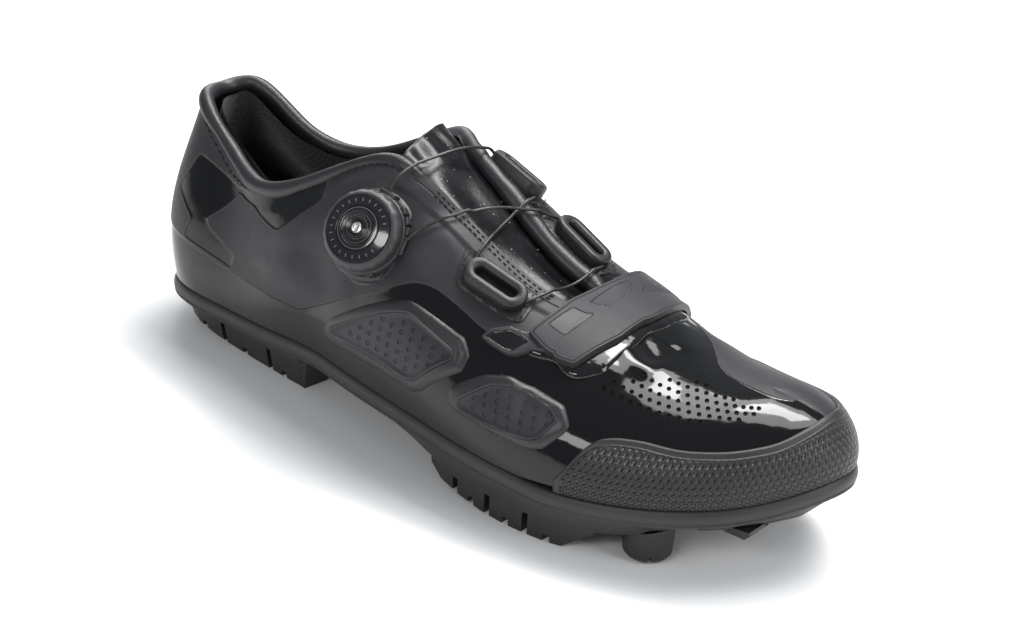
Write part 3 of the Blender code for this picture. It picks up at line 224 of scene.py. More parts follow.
def raw_normal(v, t):
    t = np.clip(t, 0.01, 0.985)
    by_v = surf(v + 0.004, t) - surf(v - 0.004, t)
    by_t = surf(v, t + 0.01) - surf(v, t - 0.01)
    return unit(np.cross(by_v, by_t))


FACING = -1.0 if raw_normal(np.array([0.5]), np.array([0.3]))[0, 1] > 0 else 1.0


def normal(v, t):
    """Outward normals; the two sides' normals are eased together along the closed crest."""
    v, t = np.asarray(v, float), np.asarray(t, float)
    own = raw_normal(v, t) * FACING
    near = (smoothstep(0.90, 1.0, t) * (folded(v) < CREST_END + 0.002))[:, None] * 0.5
    if near.max() > 0:
        own = own * (1 - near) + raw_normal(2.0 - v, t) * FACING * near
    return unit(own)


def on(v, t, lift=0.0):
    """Points in the row frame, lifted off the upper along its normal."""
    v, t = np.atleast_1d(np.asarray(v, float)), np.atleast_1d(np.asarray(t, float))
    v, t = np.broadcast_arrays(v, t)
    lift = np.broadcast_to(np.asarray(lift, float), v.shape)
    return surf(v, t) + normal(v, t) * lift[:, None] + OFFSET


def over(q, s, lift=0.0):
    """The same for a place (q, s), which may lie past the crest on the inner side."""
    return on(*unfolded(np.asarray(q, float), np.asarray(s, float)), lift)


# Metres on the upper for one whole step of v and of t, taken as the same everywhere
FLAT = np.array([0.32, 0.08])


def flat_places(v, t):
    return np.stack([v, t], axis=1) * FLAT


def rounded(corners, cut=0.0020):
    """An outline in flat metres, each corner eased by an arc that starts cut from it."""
    points = np.array(corners, float) * FLAT
    eased = []
    for before, here, after in zip(np.roll(points, 1, axis=0), points, np.roll(points, -1, axis=0)):
        arms = [side - here for side in (before, after)]
        start, end = (here + arm * min(cut / lengths(arm), 0.42) for arm in arms)
        for u in np.linspace(0, 1, 5):
            eased.append((1 - u) ** 2 * start + 2 * (1 - u) * u * here + u * u * end)
    return np.array(eased)


def nearest(places, start, end):
    """The point of a straight piece of line that lies nearest to each flat place."""
    run = end - start
    share = np.clip(((places - start) @ run) / max(run @ run, 1e-18), 0, 1)
    return start + share[:, None] * run


def depth_in(places, outline):
    """How deep inside an outline each flat place lies, negative outside, and its nearest edge point."""
    best = np.full(len(places), 1e9)
    spot = np.zeros_like(places)
    inside = np.zeros(len(places), bool)
    for p, r in zip(outline, np.roll(outline, -1, axis=0)):
        near = nearest(places, p, r)
        d = lengths(places - near)
        spot[d < best] = near[d < best]
        best = np.minimum(best, d)
        if p[1] != r[1]:
            crosses = (p[1] > places[:, 1]) != (r[1] > places[:, 1])
            at = p[0] + (places[:, 1] - p[1]) / (r[1] - p[1]) * (r[0] - p[0])
            inside ^= crosses & (places[:, 0] < at)
    return np.where(inside, best, -best), spot


def line_distance(places, line):
    """Distance from flat places to an open line of (v, t) points."""
    points = np.array(line, float) * FLAT
    pieces = zip(points, points[1:])
    return np.min([lengths(places - nearest(places, p, r)) for p, r in pieces], axis=0)


# Shader arithmetic


def fill(node, numbers):
    """Puts numbers on a node's sockets."""
    for name, value in numbers.items():
        node.inputs[name].default_value = value


class Value:
    """A number in a shader; arithmetic on it adds nodes."""

    def __init__(self, tree, socket):
        self.tree, self.socket = tree, socket

    def math(self, operation, *others):
        node = self.tree.nodes.new("ShaderNodeMath")
        node.operation = operation
        for slot, value in zip(node.inputs, (self, *others)):
            if isinstance(value, Value):
                self.tree.links.new(value.socket, slot)
            else:
                slot.default_value = value
        return Value(self.tree, node.outputs[0])

    def __add__(self, other):
        return self.math("ADD", other)

    def __mul__(self, other):
        return self.math("MULTIPLY", other)

    def __sub__(self, other):
        return self.math("SUBTRACT", other)

    def __truediv__(self, other):
        return self.math("DIVIDE", other)

    def __rsub__(self, other):
        return self * -1.0 + other

    def __neg__(self):
        return self * -1.0

    def step(self, a, b):
        """0 at a, 1 at b, smooth between."""
        node = self.tree.nodes.new("ShaderNodeMapRange")
        node.interpolation_type = "SMOOTHSTEP"
        self.tree.links.new(self.socket, node.inputs["Value"])
        fill(node, {"From Min": min(a, b), "From Max": max(a, b)})
        fill(node, {"To Min": int(a > b), "To Max": int(a < b)})
        return Value(self.tree, node.outputs["Result"])

    def line(self, width):
        """1 on zero, fading to 0 at width on either side."""
        return self.math("ABSOLUTE").step(width, 0.0)


class Look:
    """A material under construction."""

    def __init__(self, name, colour, roughness, coat=0.0, metallic=0.0, specular=0.5, sheen=0.0):
        self.material = bpy.data.materials.new(name)
        self.material.use_nodes = True
        self.tree = self.material.node_tree
        self.shader = self.tree.nodes["Principled BSDF"]
        fill(self.shader, {
            "Base Color": (*colour, 1), "Roughness": roughness, "Coat Weight": coat, "Coat Roughness": 0.05,
            "Metallic": metallic, "Specular IOR Level": specular, "Sheen Weight": sheen})
        self.last_normal = None

    def node(self, kind, numbers=None, **settings):
        """A new node with its settings, and numbers on its sockets."""
        node = self.tree.nodes.new(kind)
        for key, value in settings.items():
            setattr(node, key, value)
        fill(node, numbers or {})
        return node

    def where(self):
        return self.node("ShaderNodeTexCoord").outputs["Object"]

    def attribute(self, name):
        return Value(self.tree, self.node("ShaderNodeAttribute", attribute_name=name).outputs["Fac"])

    def noise(self, scale, detail, roughness=0.5, stretch=None):
        node = self.node("ShaderNodeTexNoise", {"Scale": scale, "Detail": detail, "Roughness": roughness})
        place = self.where()
        if stretch:
            mapping = self.node("ShaderNodeMapping", {"Scale": stretch})
            self.tree.links.new(place, mapping.inputs["Vector"])
            place = mapping.outputs["Vector"]
        self.tree.links.new(place, node.inputs["Vector"])
        return Value(self.tree, node.outputs["Fac"])

    def cells(self, scale, randomness=1.0):
        """Distance to the nearest cell's middle, and the cell's own colour."""
        node = self.node("ShaderNodeTexVoronoi", {"Scale": scale, "Randomness": randomness})
        self.tree.links.new(self.where(), node.inputs["Vector"])
        return Value(self.tree, node.outputs["Distance"]), node.outputs["Color"]

    def blend(self, factor, a, b):
        node = self.node("ShaderNodeMix", data_type="RGBA")
        self.tree.links.new(factor.socket, node.inputs[0])
        for socket, colour in ((node.inputs[6], a), (node.inputs[7], b)):
            if isinstance(colour, tuple):
                socket.default_value = (*colour, 1)
            else:
                self.tree.links.new(colour, socket)
        return node.outputs[2]

    def paint(self, factor, a, b):
        self.tree.links.new(self.blend(factor, a, b), self.shader.inputs["Base Color"])

    def drive(self, name, value):
        self.tree.links.new(value.socket, self.shader.inputs[name])

    def bump(self, height, distance, strength):
        node = self.node("ShaderNodeBump", {"Distance": distance, "Strength": strength})
        self.tree.links.new(height.socket, node.inputs["Height"])
        if self.last_normal:
            self.tree.links.new(self.last_normal, node.inputs["Normal"])
        self.last_normal = node.outputs["Normal"]
        for name in ("Normal", "Coat Normal"):
            self.tree.links.new(self.last_normal, self.shader.inputs[name])


def upper_look():
    """Patent film under matte film: the matte depth attribute says which shows; the film's edge has a
    painted highlight.
    """
    look = Look("upper", (0.01, 0.01, 0.011), 0.1, specular=0.38)
    matte = look.attribute("matte")
    mask = matte.step(-0.12, 0.12)
    rim = (matte - 0.15).line(0.55)
    tone = look.noise(45, 3)
    dull = look.blend(tone, (0.017, 0.017, 0.019), (0.029, 0.029, 0.032))
    # Painted highlight: the matte film's edge is mixed towards a lighter grey
    dull = look.blend(rim * 0.6, dull, (0.06, 0.06, 0.063))
    look.paint(mask, (0.0035, 0.0035, 0.004), dull)
    haze = look.noise(90, 4)
    smear = look.noise(420, 3)
    glossy = haze * 0.06 + smear * 0.03 + 0.03
    rough = mask * (look.noise(300, 2) * 0.10 + 0.44 - glossy) + glossy
    look.drive("Roughness", rough - rim * 0.08)
    look.drive("Coat Weight", (1.0 - mask) * 0.06)
    look.bump(look.noise(38, 2) + look.noise(120, 2) * 0.22, 0.0011, 0.55)
    look.bump(look.noise(2600, 2) * mask, 0.00012, 0.5)
    look.bump(mask + rim * 0.35, 0.0003, 0.9)
    seam = look.attribute("seam")
    look.bump(-seam.line(0.55), 0.0006, 0.9)
    return look.material


def cap_look():
    """Rubber with a honeycomb of small bumps inside a smooth border; the bumps are painted lighter than the
    hollows between them: painted highlight and shade.
    """
    look = Look("toe_rubber", (0.035, 0.035, 0.038), 0.5)
    u, w = look.attribute("along") / 2.35, look.attribute("up") / 2.04

    def lattice(x, y):
        dx = x - x.math("ROUND")
        dy = (y - y.math("ROUND")) * 0.87 * 2
        return (dx * dx + dy * dy).math("SQRT")

    half = w / 2.0
    near = lattice(u, half).math("MINIMUM", lattice(u + 0.5, half + 0.5))
    depth = look.attribute("depth")
    field = depth.step(2.6, 3.4)
    beads = near.step(0.46, 0.16) * field
    border = (depth - 2.9).line(0.5)
    # Painted highlight and shade: the bumps are painted lighter than the hollows between them
    look.paint(beads, (0.016, 0.016, 0.017), (0.026, 0.026, 0.028))
    look.drive("Roughness", look.noise(200, 3) * 0.12 + 0.40 - beads * 0.06)
    look.bump(beads, 0.0009, 1.0)
    look.bump(-border, 0.0005, 0.8)
    look.bump(look.noise(1800, 2), 0.00012, 0.4)
    return look.material


def plain_look(name, colour, roughness, grain=1800, depth=0.00012, coat=0.0, spread=0.12, specular=0.5):
    """Moulded or coated stuff with fine grain and a little uneven tone."""
    look = Look(name, colour, roughness, coat=coat, specular=specular)
    tone = look.noise(70, 3)
    light = tuple(min(1, c * 1.35 + 0.002) for c in colour)
    dark = tuple(c * 0.75 for c in colour)
    look.paint(tone, dark, light)
    look.drive("Roughness", look.noise(260, 3) * spread + roughness - spread / 2)
    look.bump(look.noise(grain, 2), depth, 0.6)
    return look.material


def tongue_look():
    """Gloss black with fine silver specks."""
    look = Look("tongue", (0.004, 0.004, 0.005), 0.16, specular=0.25)
    near, tint = look.cells(700)
    pick = look.node("ShaderNodeSeparateColor")
    look.tree.links.new(tint, pick.inputs[0])
    spark = Value(look.tree, pick.outputs[0]).step(0.92, 0.93) * near.step(0.26, 0.10)
    look.paint(spark, (0.004, 0.004, 0.005), (0.30, 0.30, 0.32))
    look.drive("Roughness", look.noise(500, 3) * 0.16 + 0.16)
    look.bump(look.noise(45, 2), 0.0012, 0.6)
    look.bump(look.noise(900, 2), 0.0001, 0.5)
    return look.material


def knit_look(name, colour, pitch=1500):
    """A fine knit: small cells, rough and slightly fuzzy; each cell's raised middle has a painted highlight
    and its sunk edge painted shade.
    """
    look = Look(name, colour, 0.9, sheen=0.25, specular=0.3)
    near, _ = look.cells(pitch, 0.35)
    # Painted highlight on each cell's raised middle and painted shade at its sunk edge
    raised, sunk = (tuple(c * share for c in colour) for share in (1.7, 0.5))
    look.paint(near.step(0.2, 0.6), raised, sunk)
    look.bump(1.0 - near, 0.0004, 0.8)
    look.bump(look.noise(80, 2), 0.0012, 0.4)
    return look.material


def pad_look():
    """The side pads: a smooth border, a thin ridge with a painted highlight and a darker, finely woven
    field.
    """
    look = Look("side_pad", (0.03, 0.03, 0.033), 0.5)
    field = look.attribute("field")
    inner = field.step(-0.15, 0.15)
    ridge = (field + 0.25).line(0.5)
    band = look.blend(look.noise(60, 2), (0.014, 0.014, 0.016), (0.024, 0.024, 0.026))
    tone = look.blend(inner, band, (0.018, 0.018, 0.021))
    # Painted highlight: the thin ridge is mixed towards a lighter grey
    look.paint(ridge * 0.45, tone, (0.08, 0.08, 0.083))
    look.drive("Roughness", inner * 0.12 + look.noise(200, 2) * 0.1 + 0.34)
    look.bump(ridge, 0.0004, 0.8)
    look.bump(look.noise(2600, 2), 0.0001, 0.5)
    return look.material


def strap_look():
    """The strap's satin rubber with an edge groove darkened by painted shade, and three smooth panels."""
    look = Look("strap", (0.035, 0.035, 0.038), 0.42, specular=0.3)
    depth, panel = look.attribute("depth"), look.attribute("field")
    groove = (depth - 1.6).line(0.4)
    inside = panel.step(-0.1, 0.3)
    wall = panel.line(0.5)
    tone = look.blend(look.noise(50, 3), (0.026, 0.026, 0.028), (0.038, 0.038, 0.041))
    # Painted shade: the edge groove is painted darker
    look.paint(groove * 0.6, tone, (0.012, 0.012, 0.013))
    look.drive("Roughness", look.noise(250, 3) * 0.10 + 0.46 - inside * 0.08)
    look.bump(-groove, 0.0004, 0.8)
    look.bump(inside, 0.0006, 0.7)
    look.bump(-wall, 0.0003, 0.5)
    look.bump(look.noise(2400, 2) * (1.0 - inside * 0.7), 0.00015, 0.6)
    return look.material


def tab_look():
    """The pull tab: a satin border round a bare, dark, glossy field."""
    look = Look("pull_tab", (0.03, 0.03, 0.033), 0.35)
    field = look.attribute("field")
    inner = field.step(-0.1, 0.1)
    border = look.blend(look.noise(80, 3), (0.026, 0.026, 0.029), (0.042, 0.042, 0.045))
    look.paint(inner, border, (0.006, 0.006, 0.007))
    look.drive("Roughness", look.noise(300, 2) * 0.10 + 0.30 - inner * 0.16)
    look.bump(-field.line(0.3), 0.0003, 0.8)
    look.bump(look.noise(1800, 2), 0.0001, 0.5)
    return look.material


def rubber_look(name, *tones):
    """The sole's moulded rubber: matte and lightly scuffed, between two tones of grey."""
    look = Look(name, (0.04, 0.04, 0.042), 0.6)
    low_tone, high_tone = ((tone, tone, tone * 1.05) for tone in tones)
    look.paint(look.noise(35, 5, 0.65, stretch=(1, 1, 3)), low_tone, high_tone)
    look.drive("Roughness", look.noise(140, 4) * 0.22 + 0.38)
    look.bump(look.noise(1500, 3), 0.00018, 0.6)
    look.bump(look.noise(45, 2), 0.0008, 0.25)
    return look.material


def dial_face_look():
    """The dial's face: gloss black, a plain circle of printed index ticks, and painted highlights along its
    turned rings.
    """
    look = Look("dial_face", (0.006, 0.006, 0.007), 0.12, coat=0.5)
    radius, angle = look.attribute("radius"), look.attribute("angle")
    turn = angle * 24.0
    tick = (turn - turn.math("ROUND")).line(0.12) * (radius - 9.9).line(0.8).step(0.1, 0.3)
    # Painted highlights on the inner edges of the turned grooves; the ticks are print
    inner_ring_highlights = (radius - 5.2).line(0.18) * 0.6 + (radius - 3.9).line(0.18) * 0.6
    rings = (radius - 7.2).line(0.22) + inner_ring_highlights
    ticks_and_ring_highlights = (tick * 0.40 + rings * 0.30).math("MINIMUM", 1.0)
    look.paint(ticks_and_ring_highlights, (0.006, 0.006, 0.007), (0.42, 0.42, 0.43))
    look.drive("Roughness", look.noise(500, 2) * 0.08 + 0.08)
    look.bump((radius * 9.0).math("SINE") * radius.step(6.8, 6.2), 0.00006, 0.7)
    return look.material


def lace_look():
    """A thin coated cable: fine twist under a satin skin."""
    look = Look("lace", (0.012, 0.012, 0.012), 0.35)
    twist = look.noise(1800, 2, stretch=(1, 1, 2))
    look.paint(twist, (0.008, 0.008, 0.008), (0.03, 0.03, 0.03))
    look.drive("Roughness", look.noise(900, 2) * 0.15 + 0.25)
    look.bump(twist, 0.0002, 0.6)
    return look.material


def metal_look():
    look = Look("screw_steel", (0.55, 0.54, 0.52), 0.28, metallic=1.0)
    look.drive("Roughness", look.noise(900, 3) * 0.15 + 0.2)
    look.bump(look.noise(1200, 2), 0.0001, 0.4)
    return look.material


# Building


def finish_piece(name, bm, look, slot, *replaced, smooth=50.0, layers=None):
    """An object from a bmesh, riding on the shoe, with its layers of numbers as attributes."""
    bmesh.ops.recalc_face_normals(bm, faces=bm.faces)
    mesh = bpy.data.meshes.new(name)
    bm.to_mesh(mesh)
    bm.free()
    for key, values in (layers or {}).items():
        layer = mesh.attributes.new(key, "FLOAT", "POINT")
        layer.data.foreach_set("value", np.asarray(values, np.float32))
    mesh.shade_smooth()
    mesh.set_sharp_from_angle(angle=math.radians(smooth))
    mesh.materials.append(look)
    piece = bpy.data.objects.new(name, mesh)
    bpy.context.collection.objects.link(piece)
    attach(piece, "root")
    if replaced:
        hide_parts(*replaced)
    return piece


def grid(columns, rows):
    """A flat grid of columns by rows cells, with each vertex's column and row."""
    bm = bmesh.new()
    bmesh.ops.create_grid(bm, x_segments=columns, y_segments=rows, size=0.5)
    bm.verts.ensure_lookup_table()
    places = np.array([v.co[:2] for v in bm.verts])
    return bm, np.rint((places[:, 0] + 0.5) * columns), np.rint((places[:, 1] + 0.5) * rows)


def shape(bm, points):
    for vert, point in zip(bm.verts, points):
        vert.co = point


def weld(bm, layers, distance):
    """Joins the grid's meeting edges and returns the layers for the vertices that stay."""
    index = bm.verts.layers.int.new("old")
    for i, vert in enumerate(bm.verts):
        vert[index] = i
    bmesh.ops.remove_doubles(bm, verts=bm.verts, dist=distance)
    kept = np.array([vert[index] for vert in bm.verts])
    bm.verts.layers.int.remove(index)
    return {key: np.asarray(values)[kept] for key, values in layers.items()}


# Width of the edge of a piece of trim that turns down to the upper
RIM = 0.0005


def overlay(name, outline, cell, height, look, slot, *replaced, fields=None, sink=-0.0002):
    """A raised piece of trim: a grid trimmed to a flat outline, its edge turned down to the upper.

    height(depth, flat) gives the lift in metres; depth is how far inside the outline a place is.
    """
    low_corner, high_corner = outline.min(0), outline.max(0)
    size = high_corner - low_corner
    columns, rows = (np.ceil(size / cell) + 2).astype(int)
    bm, i, j = grid(int(columns), int(rows))
    flat = low_corner - cell + np.stack([i, j], axis=1) * (size + 2 * cell) / (columns, rows)
    depth, _ = depth_in(flat, outline)
    shape(bm, np.concatenate([flat, np.zeros((len(flat), 1))], axis=1))
    bm.verts.ensure_lookup_table()
    gone = [bm.verts[k] for k in np.nonzero(depth < -0.35 * cell)[0]]
    bmesh.ops.delete(bm, geom=gone, context="VERTS")
    bm.verts.ensure_lookup_table()
    edge = [v for v in bm.verts if v.is_boundary]
    _, spots = depth_in(np.array([v.co[:2] for v in edge]), outline)
    for vert, spot in zip(edge, spots):
        vert.co = (*spot, 0)
    inner = [v for v in bm.verts if not v.is_boundary]
    for _ in range(3):
        bmesh.ops.smooth_vert(bm, verts=inner, factor=0.5, use_axis_x=True, use_axis_y=True)
    bmesh.ops.inset_region(bm, faces=bm.faces[:], thickness=RIM, use_boundary=True, use_even_offset=False)
    bm.verts.ensure_lookup_table()
    flat = np.clip(np.array([v.co[:2] for v in bm.verts]), low_corner, high_corner)
    depth, _ = depth_in(flat, outline)
    lift = height(depth, flat)
    for k, vert in enumerate(bm.verts):
        if vert.is_boundary:
            lift[k] = sink
    shape(bm, over(*(flat / FLAT).T, lift))
    layers = {"depth": depth * 1000}
    for key, function in (fields or {}).items():
        layers[key] = function(flat) * 1000
    finish_piece(name, bm, look, slot, *replaced, layers=layers)


# Outlines, as (v, t) or (q, s)

HEEL_GLOSS = rounded([
    (0.920, 0.794), (0.890, 0.831), (0.864, 0.863), (0.830, 0.931), (0.792, 0.969), (0.750, 0.935),
    (0.740, 0.788), (0.786, 0.712), (0.825, 0.844), (0.855, 0.838), (0.896, 0.500), (0.890, 0.455),
    (0.854, 0.413), (0.858, 0.300), (0.919, 0.300), (0.912, 0.431), (0.937, 0.535)], 0.0015)
QUARTER = rounded([
    (1.08, 0.29), (0.944, 0.288), (0.890, 0.281), (0.811, 0.280), (0.768, 0.225), (0.738, 0.181),
    (0.684, 0.244), (0.604, 0.388), (0.545, 0.544), (0.519, 0.581), (0.481, 0.594), (0.449, 0.588),
    (0.39, 0.66), (0.37, 1.10), (1.08, 1.10)], 0.0040)
TOE_RIDGE = rounded([
    (0.42, 1.42), (0.345, 1.40), (0.309, 1.362), (0.26, 1.256), (0.196, 1.056), (0.164, 0.994),
    (0.110, 0.938), (0.050, 0.868), (-0.05, 0.80), (-0.05, 1.90), (0.42, 1.90)], 0.0040)
INNER_GLOSS = rounded([(0.30, 0.76), (0.62, 0.80), (0.66, 1.1), (0.30, 1.1)])
REAR_PAD = rounded([
    (0.678, 0.190), (0.560, 0.430), (0.549, 0.450), (0.466, 0.494), (0.452, 0.440), (0.454, 0.344),
    (0.508, 0.128), (0.524, 0.100), (0.682, 0.082), (0.694, 0.128)], 0.0016)
REAR_FIELD = rounded([
    (0.671, 0.155), (0.560, 0.372), (0.541, 0.402), (0.473, 0.404), (0.469, 0.374), (0.514, 0.180),
    (0.530, 0.152), (0.666, 0.140)], 0.0010)
FRONT_PAD = rounded([
    (0.464, 0.256), (0.425, 0.410), (0.398, 0.468), (0.322, 0.442), (0.306, 0.366), (0.308, 0.315),
    (0.328, 0.195), (0.346, 0.164), (0.452, 0.150), (0.467, 0.180)], 0.0016)
FRONT_FIELD = rounded([
    (0.448, 0.219), (0.411, 0.378), (0.386, 0.422), (0.334, 0.398), (0.322, 0.356), (0.337, 0.242),
    (0.350, 0.216), (0.444, 0.186)], 0.0010)
STRAP = rounded([
    (0.406, 0.695), (0.4005, 0.85), (0.399, 1.05), (0.407, 1.22), (0.420, 1.41), (0.437, 1.65),
    (0.450, 1.90), (0.390, 1.90), (0.369, 1.65), (0.345, 1.41), (0.325, 1.22), (0.313, 1.05),
    (0.316, 0.85), (0.337, 0.613), (0.362, 0.600)], 0.0011)
STRAP_PANELS = [rounded(c, 0.0008) for c in (
    [(0.393, 0.775), (0.388, 0.925), (0.364, 0.880), (0.372, 0.735)],
    [(0.387, 1.000), (0.391, 1.140), (0.366, 1.100), (0.362, 0.955)],
    [(0.395, 1.210), (0.404, 1.340), (0.380, 1.305), (0.370, 1.170)])]
TAB = rounded([
    (0.450, 0.545), (0.445, 0.615), (0.427, 0.690), (0.412, 0.698), (0.398, 0.735), (0.368, 0.640),
    (0.390, 0.622), (0.400, 0.569), (0.413, 0.545)], 0.0009)
TAB_FIELD = rounded([
    (0.444, 0.563), (0.439, 0.610), (0.424, 0.668), (0.408, 0.668), (0.398, 0.655), (0.408, 0.572),
    (0.416, 0.563)], 0.0008)
LANDING = rounded([
    (0.395, 0.60), (0.362, 0.606), (0.341, 0.572), (0.328, 0.582), (0.303, 0.675), (0.297, 0.90),
    (0.300, 1.10), (0.32, 1.35), (0.40, 1.35), (0.398, 0.80)], 0.0015)
HOLES = rounded([
    (0.302, 0.585), (0.265, 0.790), (0.190, 0.885), (0.083, 0.765), (0.118, 0.650), (0.155, 0.606),
    (0.198, 0.575), (0.270, 0.555)], 0.0010)
CAP_EDGE = np.array([
    (-0.306, 0.04), (-0.292, 0.163), (-0.274, 0.338), (-0.249, 0.394), (-0.217, 0.412), (-0.171, 0.405),
    (-0.118, 0.42), (-0.069, 0.47), (-0.02, 0.58), (0.0, 0.60), (0.02, 0.575), (0.069, 0.45),
    (0.118, 0.413), (0.171, 0.400), (0.217, 0.417), (0.249, 0.394), (0.274, 0.338), (0.292, 0.163),
    (0.306, 0.04)])

# Soft folds pressed one by one: ends as (v, t), half width and height in metres
FOLDS = [
    ((0.318, 0.84), (0.262, 0.80), 0.0042, 0.0008), ((0.302, 0.95), (0.268, 0.88), 0.0040, -0.0005),
    ((0.296, 0.72), (0.250, 0.86), 0.0045, 0.0006), ((0.420, 0.30), (0.330, 0.60), 0.0055, -0.0005),
    ((0.620, 0.72), (0.560, 0.94), 0.0070, -0.0011), ((0.700, 0.34), (0.740, 0.52), 0.0070, -0.0010),
    ((0.640, 0.38), (0.600, 0.60), 0.0060, -0.0008), ((0.745, 0.30), (0.790, 0.46), 0.0080, 0.0007),
    ((0.580, 0.62), (0.540, 0.80), 0.0070, 0.0009), ((0.660, 0.80), (0.640, 0.95), 0.0060, -0.0008),
    ((1.700, 0.80), (1.740, 0.95), 0.0040, 0.0007), ((1.64, 0.30), (1.70, 0.52), 0.007, -0.0008),
    ((1.32, 0.35), (1.27, 0.60), 0.007, -0.0009), ((1.40, 0.40), (1.45, 0.66), 0.007, 0.0008),
]


def matte_depth(v, t):
    """Depth inside the matte film, in metres: positive matte, negative patent."""
    inner, q = v > 1, folded(v)
    side, across = flat_places(q, t), flat_places(q, np.where(inner, 2 - t, t))
    quarter = np.minimum(depth_in(side, QUARTER)[0], -depth_in(side, HEEL_GLOSS)[0])
    quarter = np.where(inner, np.minimum(quarter, -depth_in(side, INNER_GLOSS)[0]), quarter)
    return np.maximum(quarter, depth_in(across, TOE_RIDGE)[0])


COLLAR_SEAM = [
    (0.640, 0.985), (0.66, 0.955), (0.70, 0.945), (0.75, 0.95), (0.80, 0.96), (0.84, 0.925), (0.875, 0.885),
    (0.914, 0.93), (0.94, 0.965), (1.0, 0.972)]
SEAMS = [
    COLLAR_SEAM, [(2 - v, t) for v, t in COLLAR_SEAM[::-1]],
    [(0.400, 0.93), (0.46, 0.935), (0.55, 0.94), (0.64, 0.945)],
]
NO_SEAM = 0.05


# Thickness of the matte film, half the width of its edge, and how far the eyestay stands up
FILM, FILM_EDGE, EYESTAY = 0.00025, 0.0004, 0.0007


def film_lift(v, t, depth):
    """How far the matte film, the folds and the band along the throat's edge stand off the last."""
    folds = np.zeros(len(v))
    for start, end, width, rise in FOLDS:
        folds += rise * np.exp(-((line_distance(flat_places(v, t), [start, end]) / width) ** 2))
    lift = smoothstep(-FILM_EDGE, FILM_EDGE, depth) * FILM + folds * smoothstep(0.02, 0.12, t)
    band = smoothstep(0.36, 0.42, folded(v)) * smoothstep(0.70, 0.645, folded(v))
    return lift + band * smoothstep(0.845, 0.875, t) * EYESTAY


def relief(q, s):
    """The same at a place (q, s)."""
    v, t = unfolded(q, s)
    return film_lift(v, t, matte_depth(v, t))


def build_upper(look):
    """The upper's skin: up the outside, round the top line's wall and down the inside."""
    outer_columns, inner_columns, rows, turn_rows, lining_rows = 330, 170, 86, 4, 14
    columns, total = outer_columns + inner_columns, rows + turn_rows + lining_rows
    bm, i, j = grid(columns, total)
    v = np.where(i <= outer_columns, i / outer_columns, 1 + (i - outer_columns) / inner_columns)
    v = np.where(i >= columns, 0.0, v)
    t = np.clip(j / rows, 0, 1)
    depth = matte_depth(v, t)
    inner = np.clip((j - rows) / turn_rows, 0, 1)
    lift = film_lift(v, t, depth)
    lift = np.where(j > rows, lift * (1 - inner) - WALL * inner, lift)
    t = np.where(j > rows + turn_rows, 1 - (j - rows - turn_rows) / lining_rows, t)
    t = np.where(j >= total, 0.0, t)
    points = on(v, t, lift)
    points[:, 2] += 0.0006 * np.sin(np.pi * inner) * (j < rows + turn_rows)
    points[:, 2] += 0.0003 * (1 - t) ** 6
    shape(bm, points)
    seam = np.min([line_distance(flat_places(v, t), line) for line in SEAMS], axis=0)
    seam = np.where(j > rows, NO_SEAM, seam)
    layers = weld(bm, {"matte": depth * 1000, "seam": seam * 1000}, 4e-6)
    finish_piece("upper_skin", bm, look, "upper_synthetic", "upper", layers=layers, smooth=60)


# Toe cap: where it ends on either side, its thickness and how wide its edge rounds over
CAP_END, CAP_THICK, CAP_ROUND = 0.306, 0.0017, 0.0012


def build_toe_cap(look):
    """The bumper round the toe, with its layers along it, up it and in from its edge in millimetres."""
    columns, rows, foot_rows = 300, 46, 6
    bm, i, j = grid(columns, rows + foot_rows)
    v = -CAP_END + 2 * CAP_END * i / columns
    near = v[:, None] + np.linspace(-0.012, 0.012, 9)
    top = np.interp(near, CAP_EDGE[:, 0], CAP_EDGE[:, 1]).mean(1)
    t = np.clip(j / rows, 0, 1) * top
    stations = np.linspace(-CAP_END, CAP_END, 200)
    along = np.interp(v, stations, run_along(on(stations, 0.2))) * 1000
    here = on(v, t)
    up = lengths(here - on(v, 0.0)) * 1000
    ends = np.minimum(along, along.max() - along) / 1000
    depth = np.minimum(lengths(on(v, top) - here), ends)
    thick = CAP_THICK * quarter_round((depth + 0.0002) / CAP_ROUND)
    tucked = (j - rows) / foot_rows
    thick = np.where(j > rows, CAP_THICK * 0.4 * (1 - tucked) - 0.0006 * tucked, thick)
    points = on(v, t, thick + 0.0001)
    points[:, 2] += 0.0006 * (1 - t / 0.6).clip(0, 1) ** 4
    shape(bm, points)
    layers = {"along": along, "up": up, "depth": depth * 1000}
    finish_piece("toe_bumper", bm, look, "toe_rubber", "toe_cap", layers=layers)


def pad_height(inner_outline):
    """A side pad's lift: a raised border, a thin ridge inside it and a field that lies lower."""
    border, ridge, base = 0.0012, 0.00035, 0.0003

    def height(depth, flat):
        field, _ = depth_in(flat, inner_outline)
        lift = base + border * smoothstep(-0.0002, 0.0022, depth) + ridge * bump(field, -0.0003, 0.0005)
        return lift - 0.45 * border * smoothstep(-0.0001, 0.0009, field)
    return height


def stepped(base, rise, full):
    """A lift of base at the edge that grows by rise until full deep."""
    return lambda depth, flat: base + rise * smoothstep(0, full, depth)


def sewn_on(rise, full):
    """The same over whatever the upper's skin does there."""
    return lambda depth, flat: relief(*(flat / FLAT).T) + rise * smoothstep(-0.0002, full, depth)


def field_of(outline):
    return lambda flat: depth_in(flat, outline)[0]


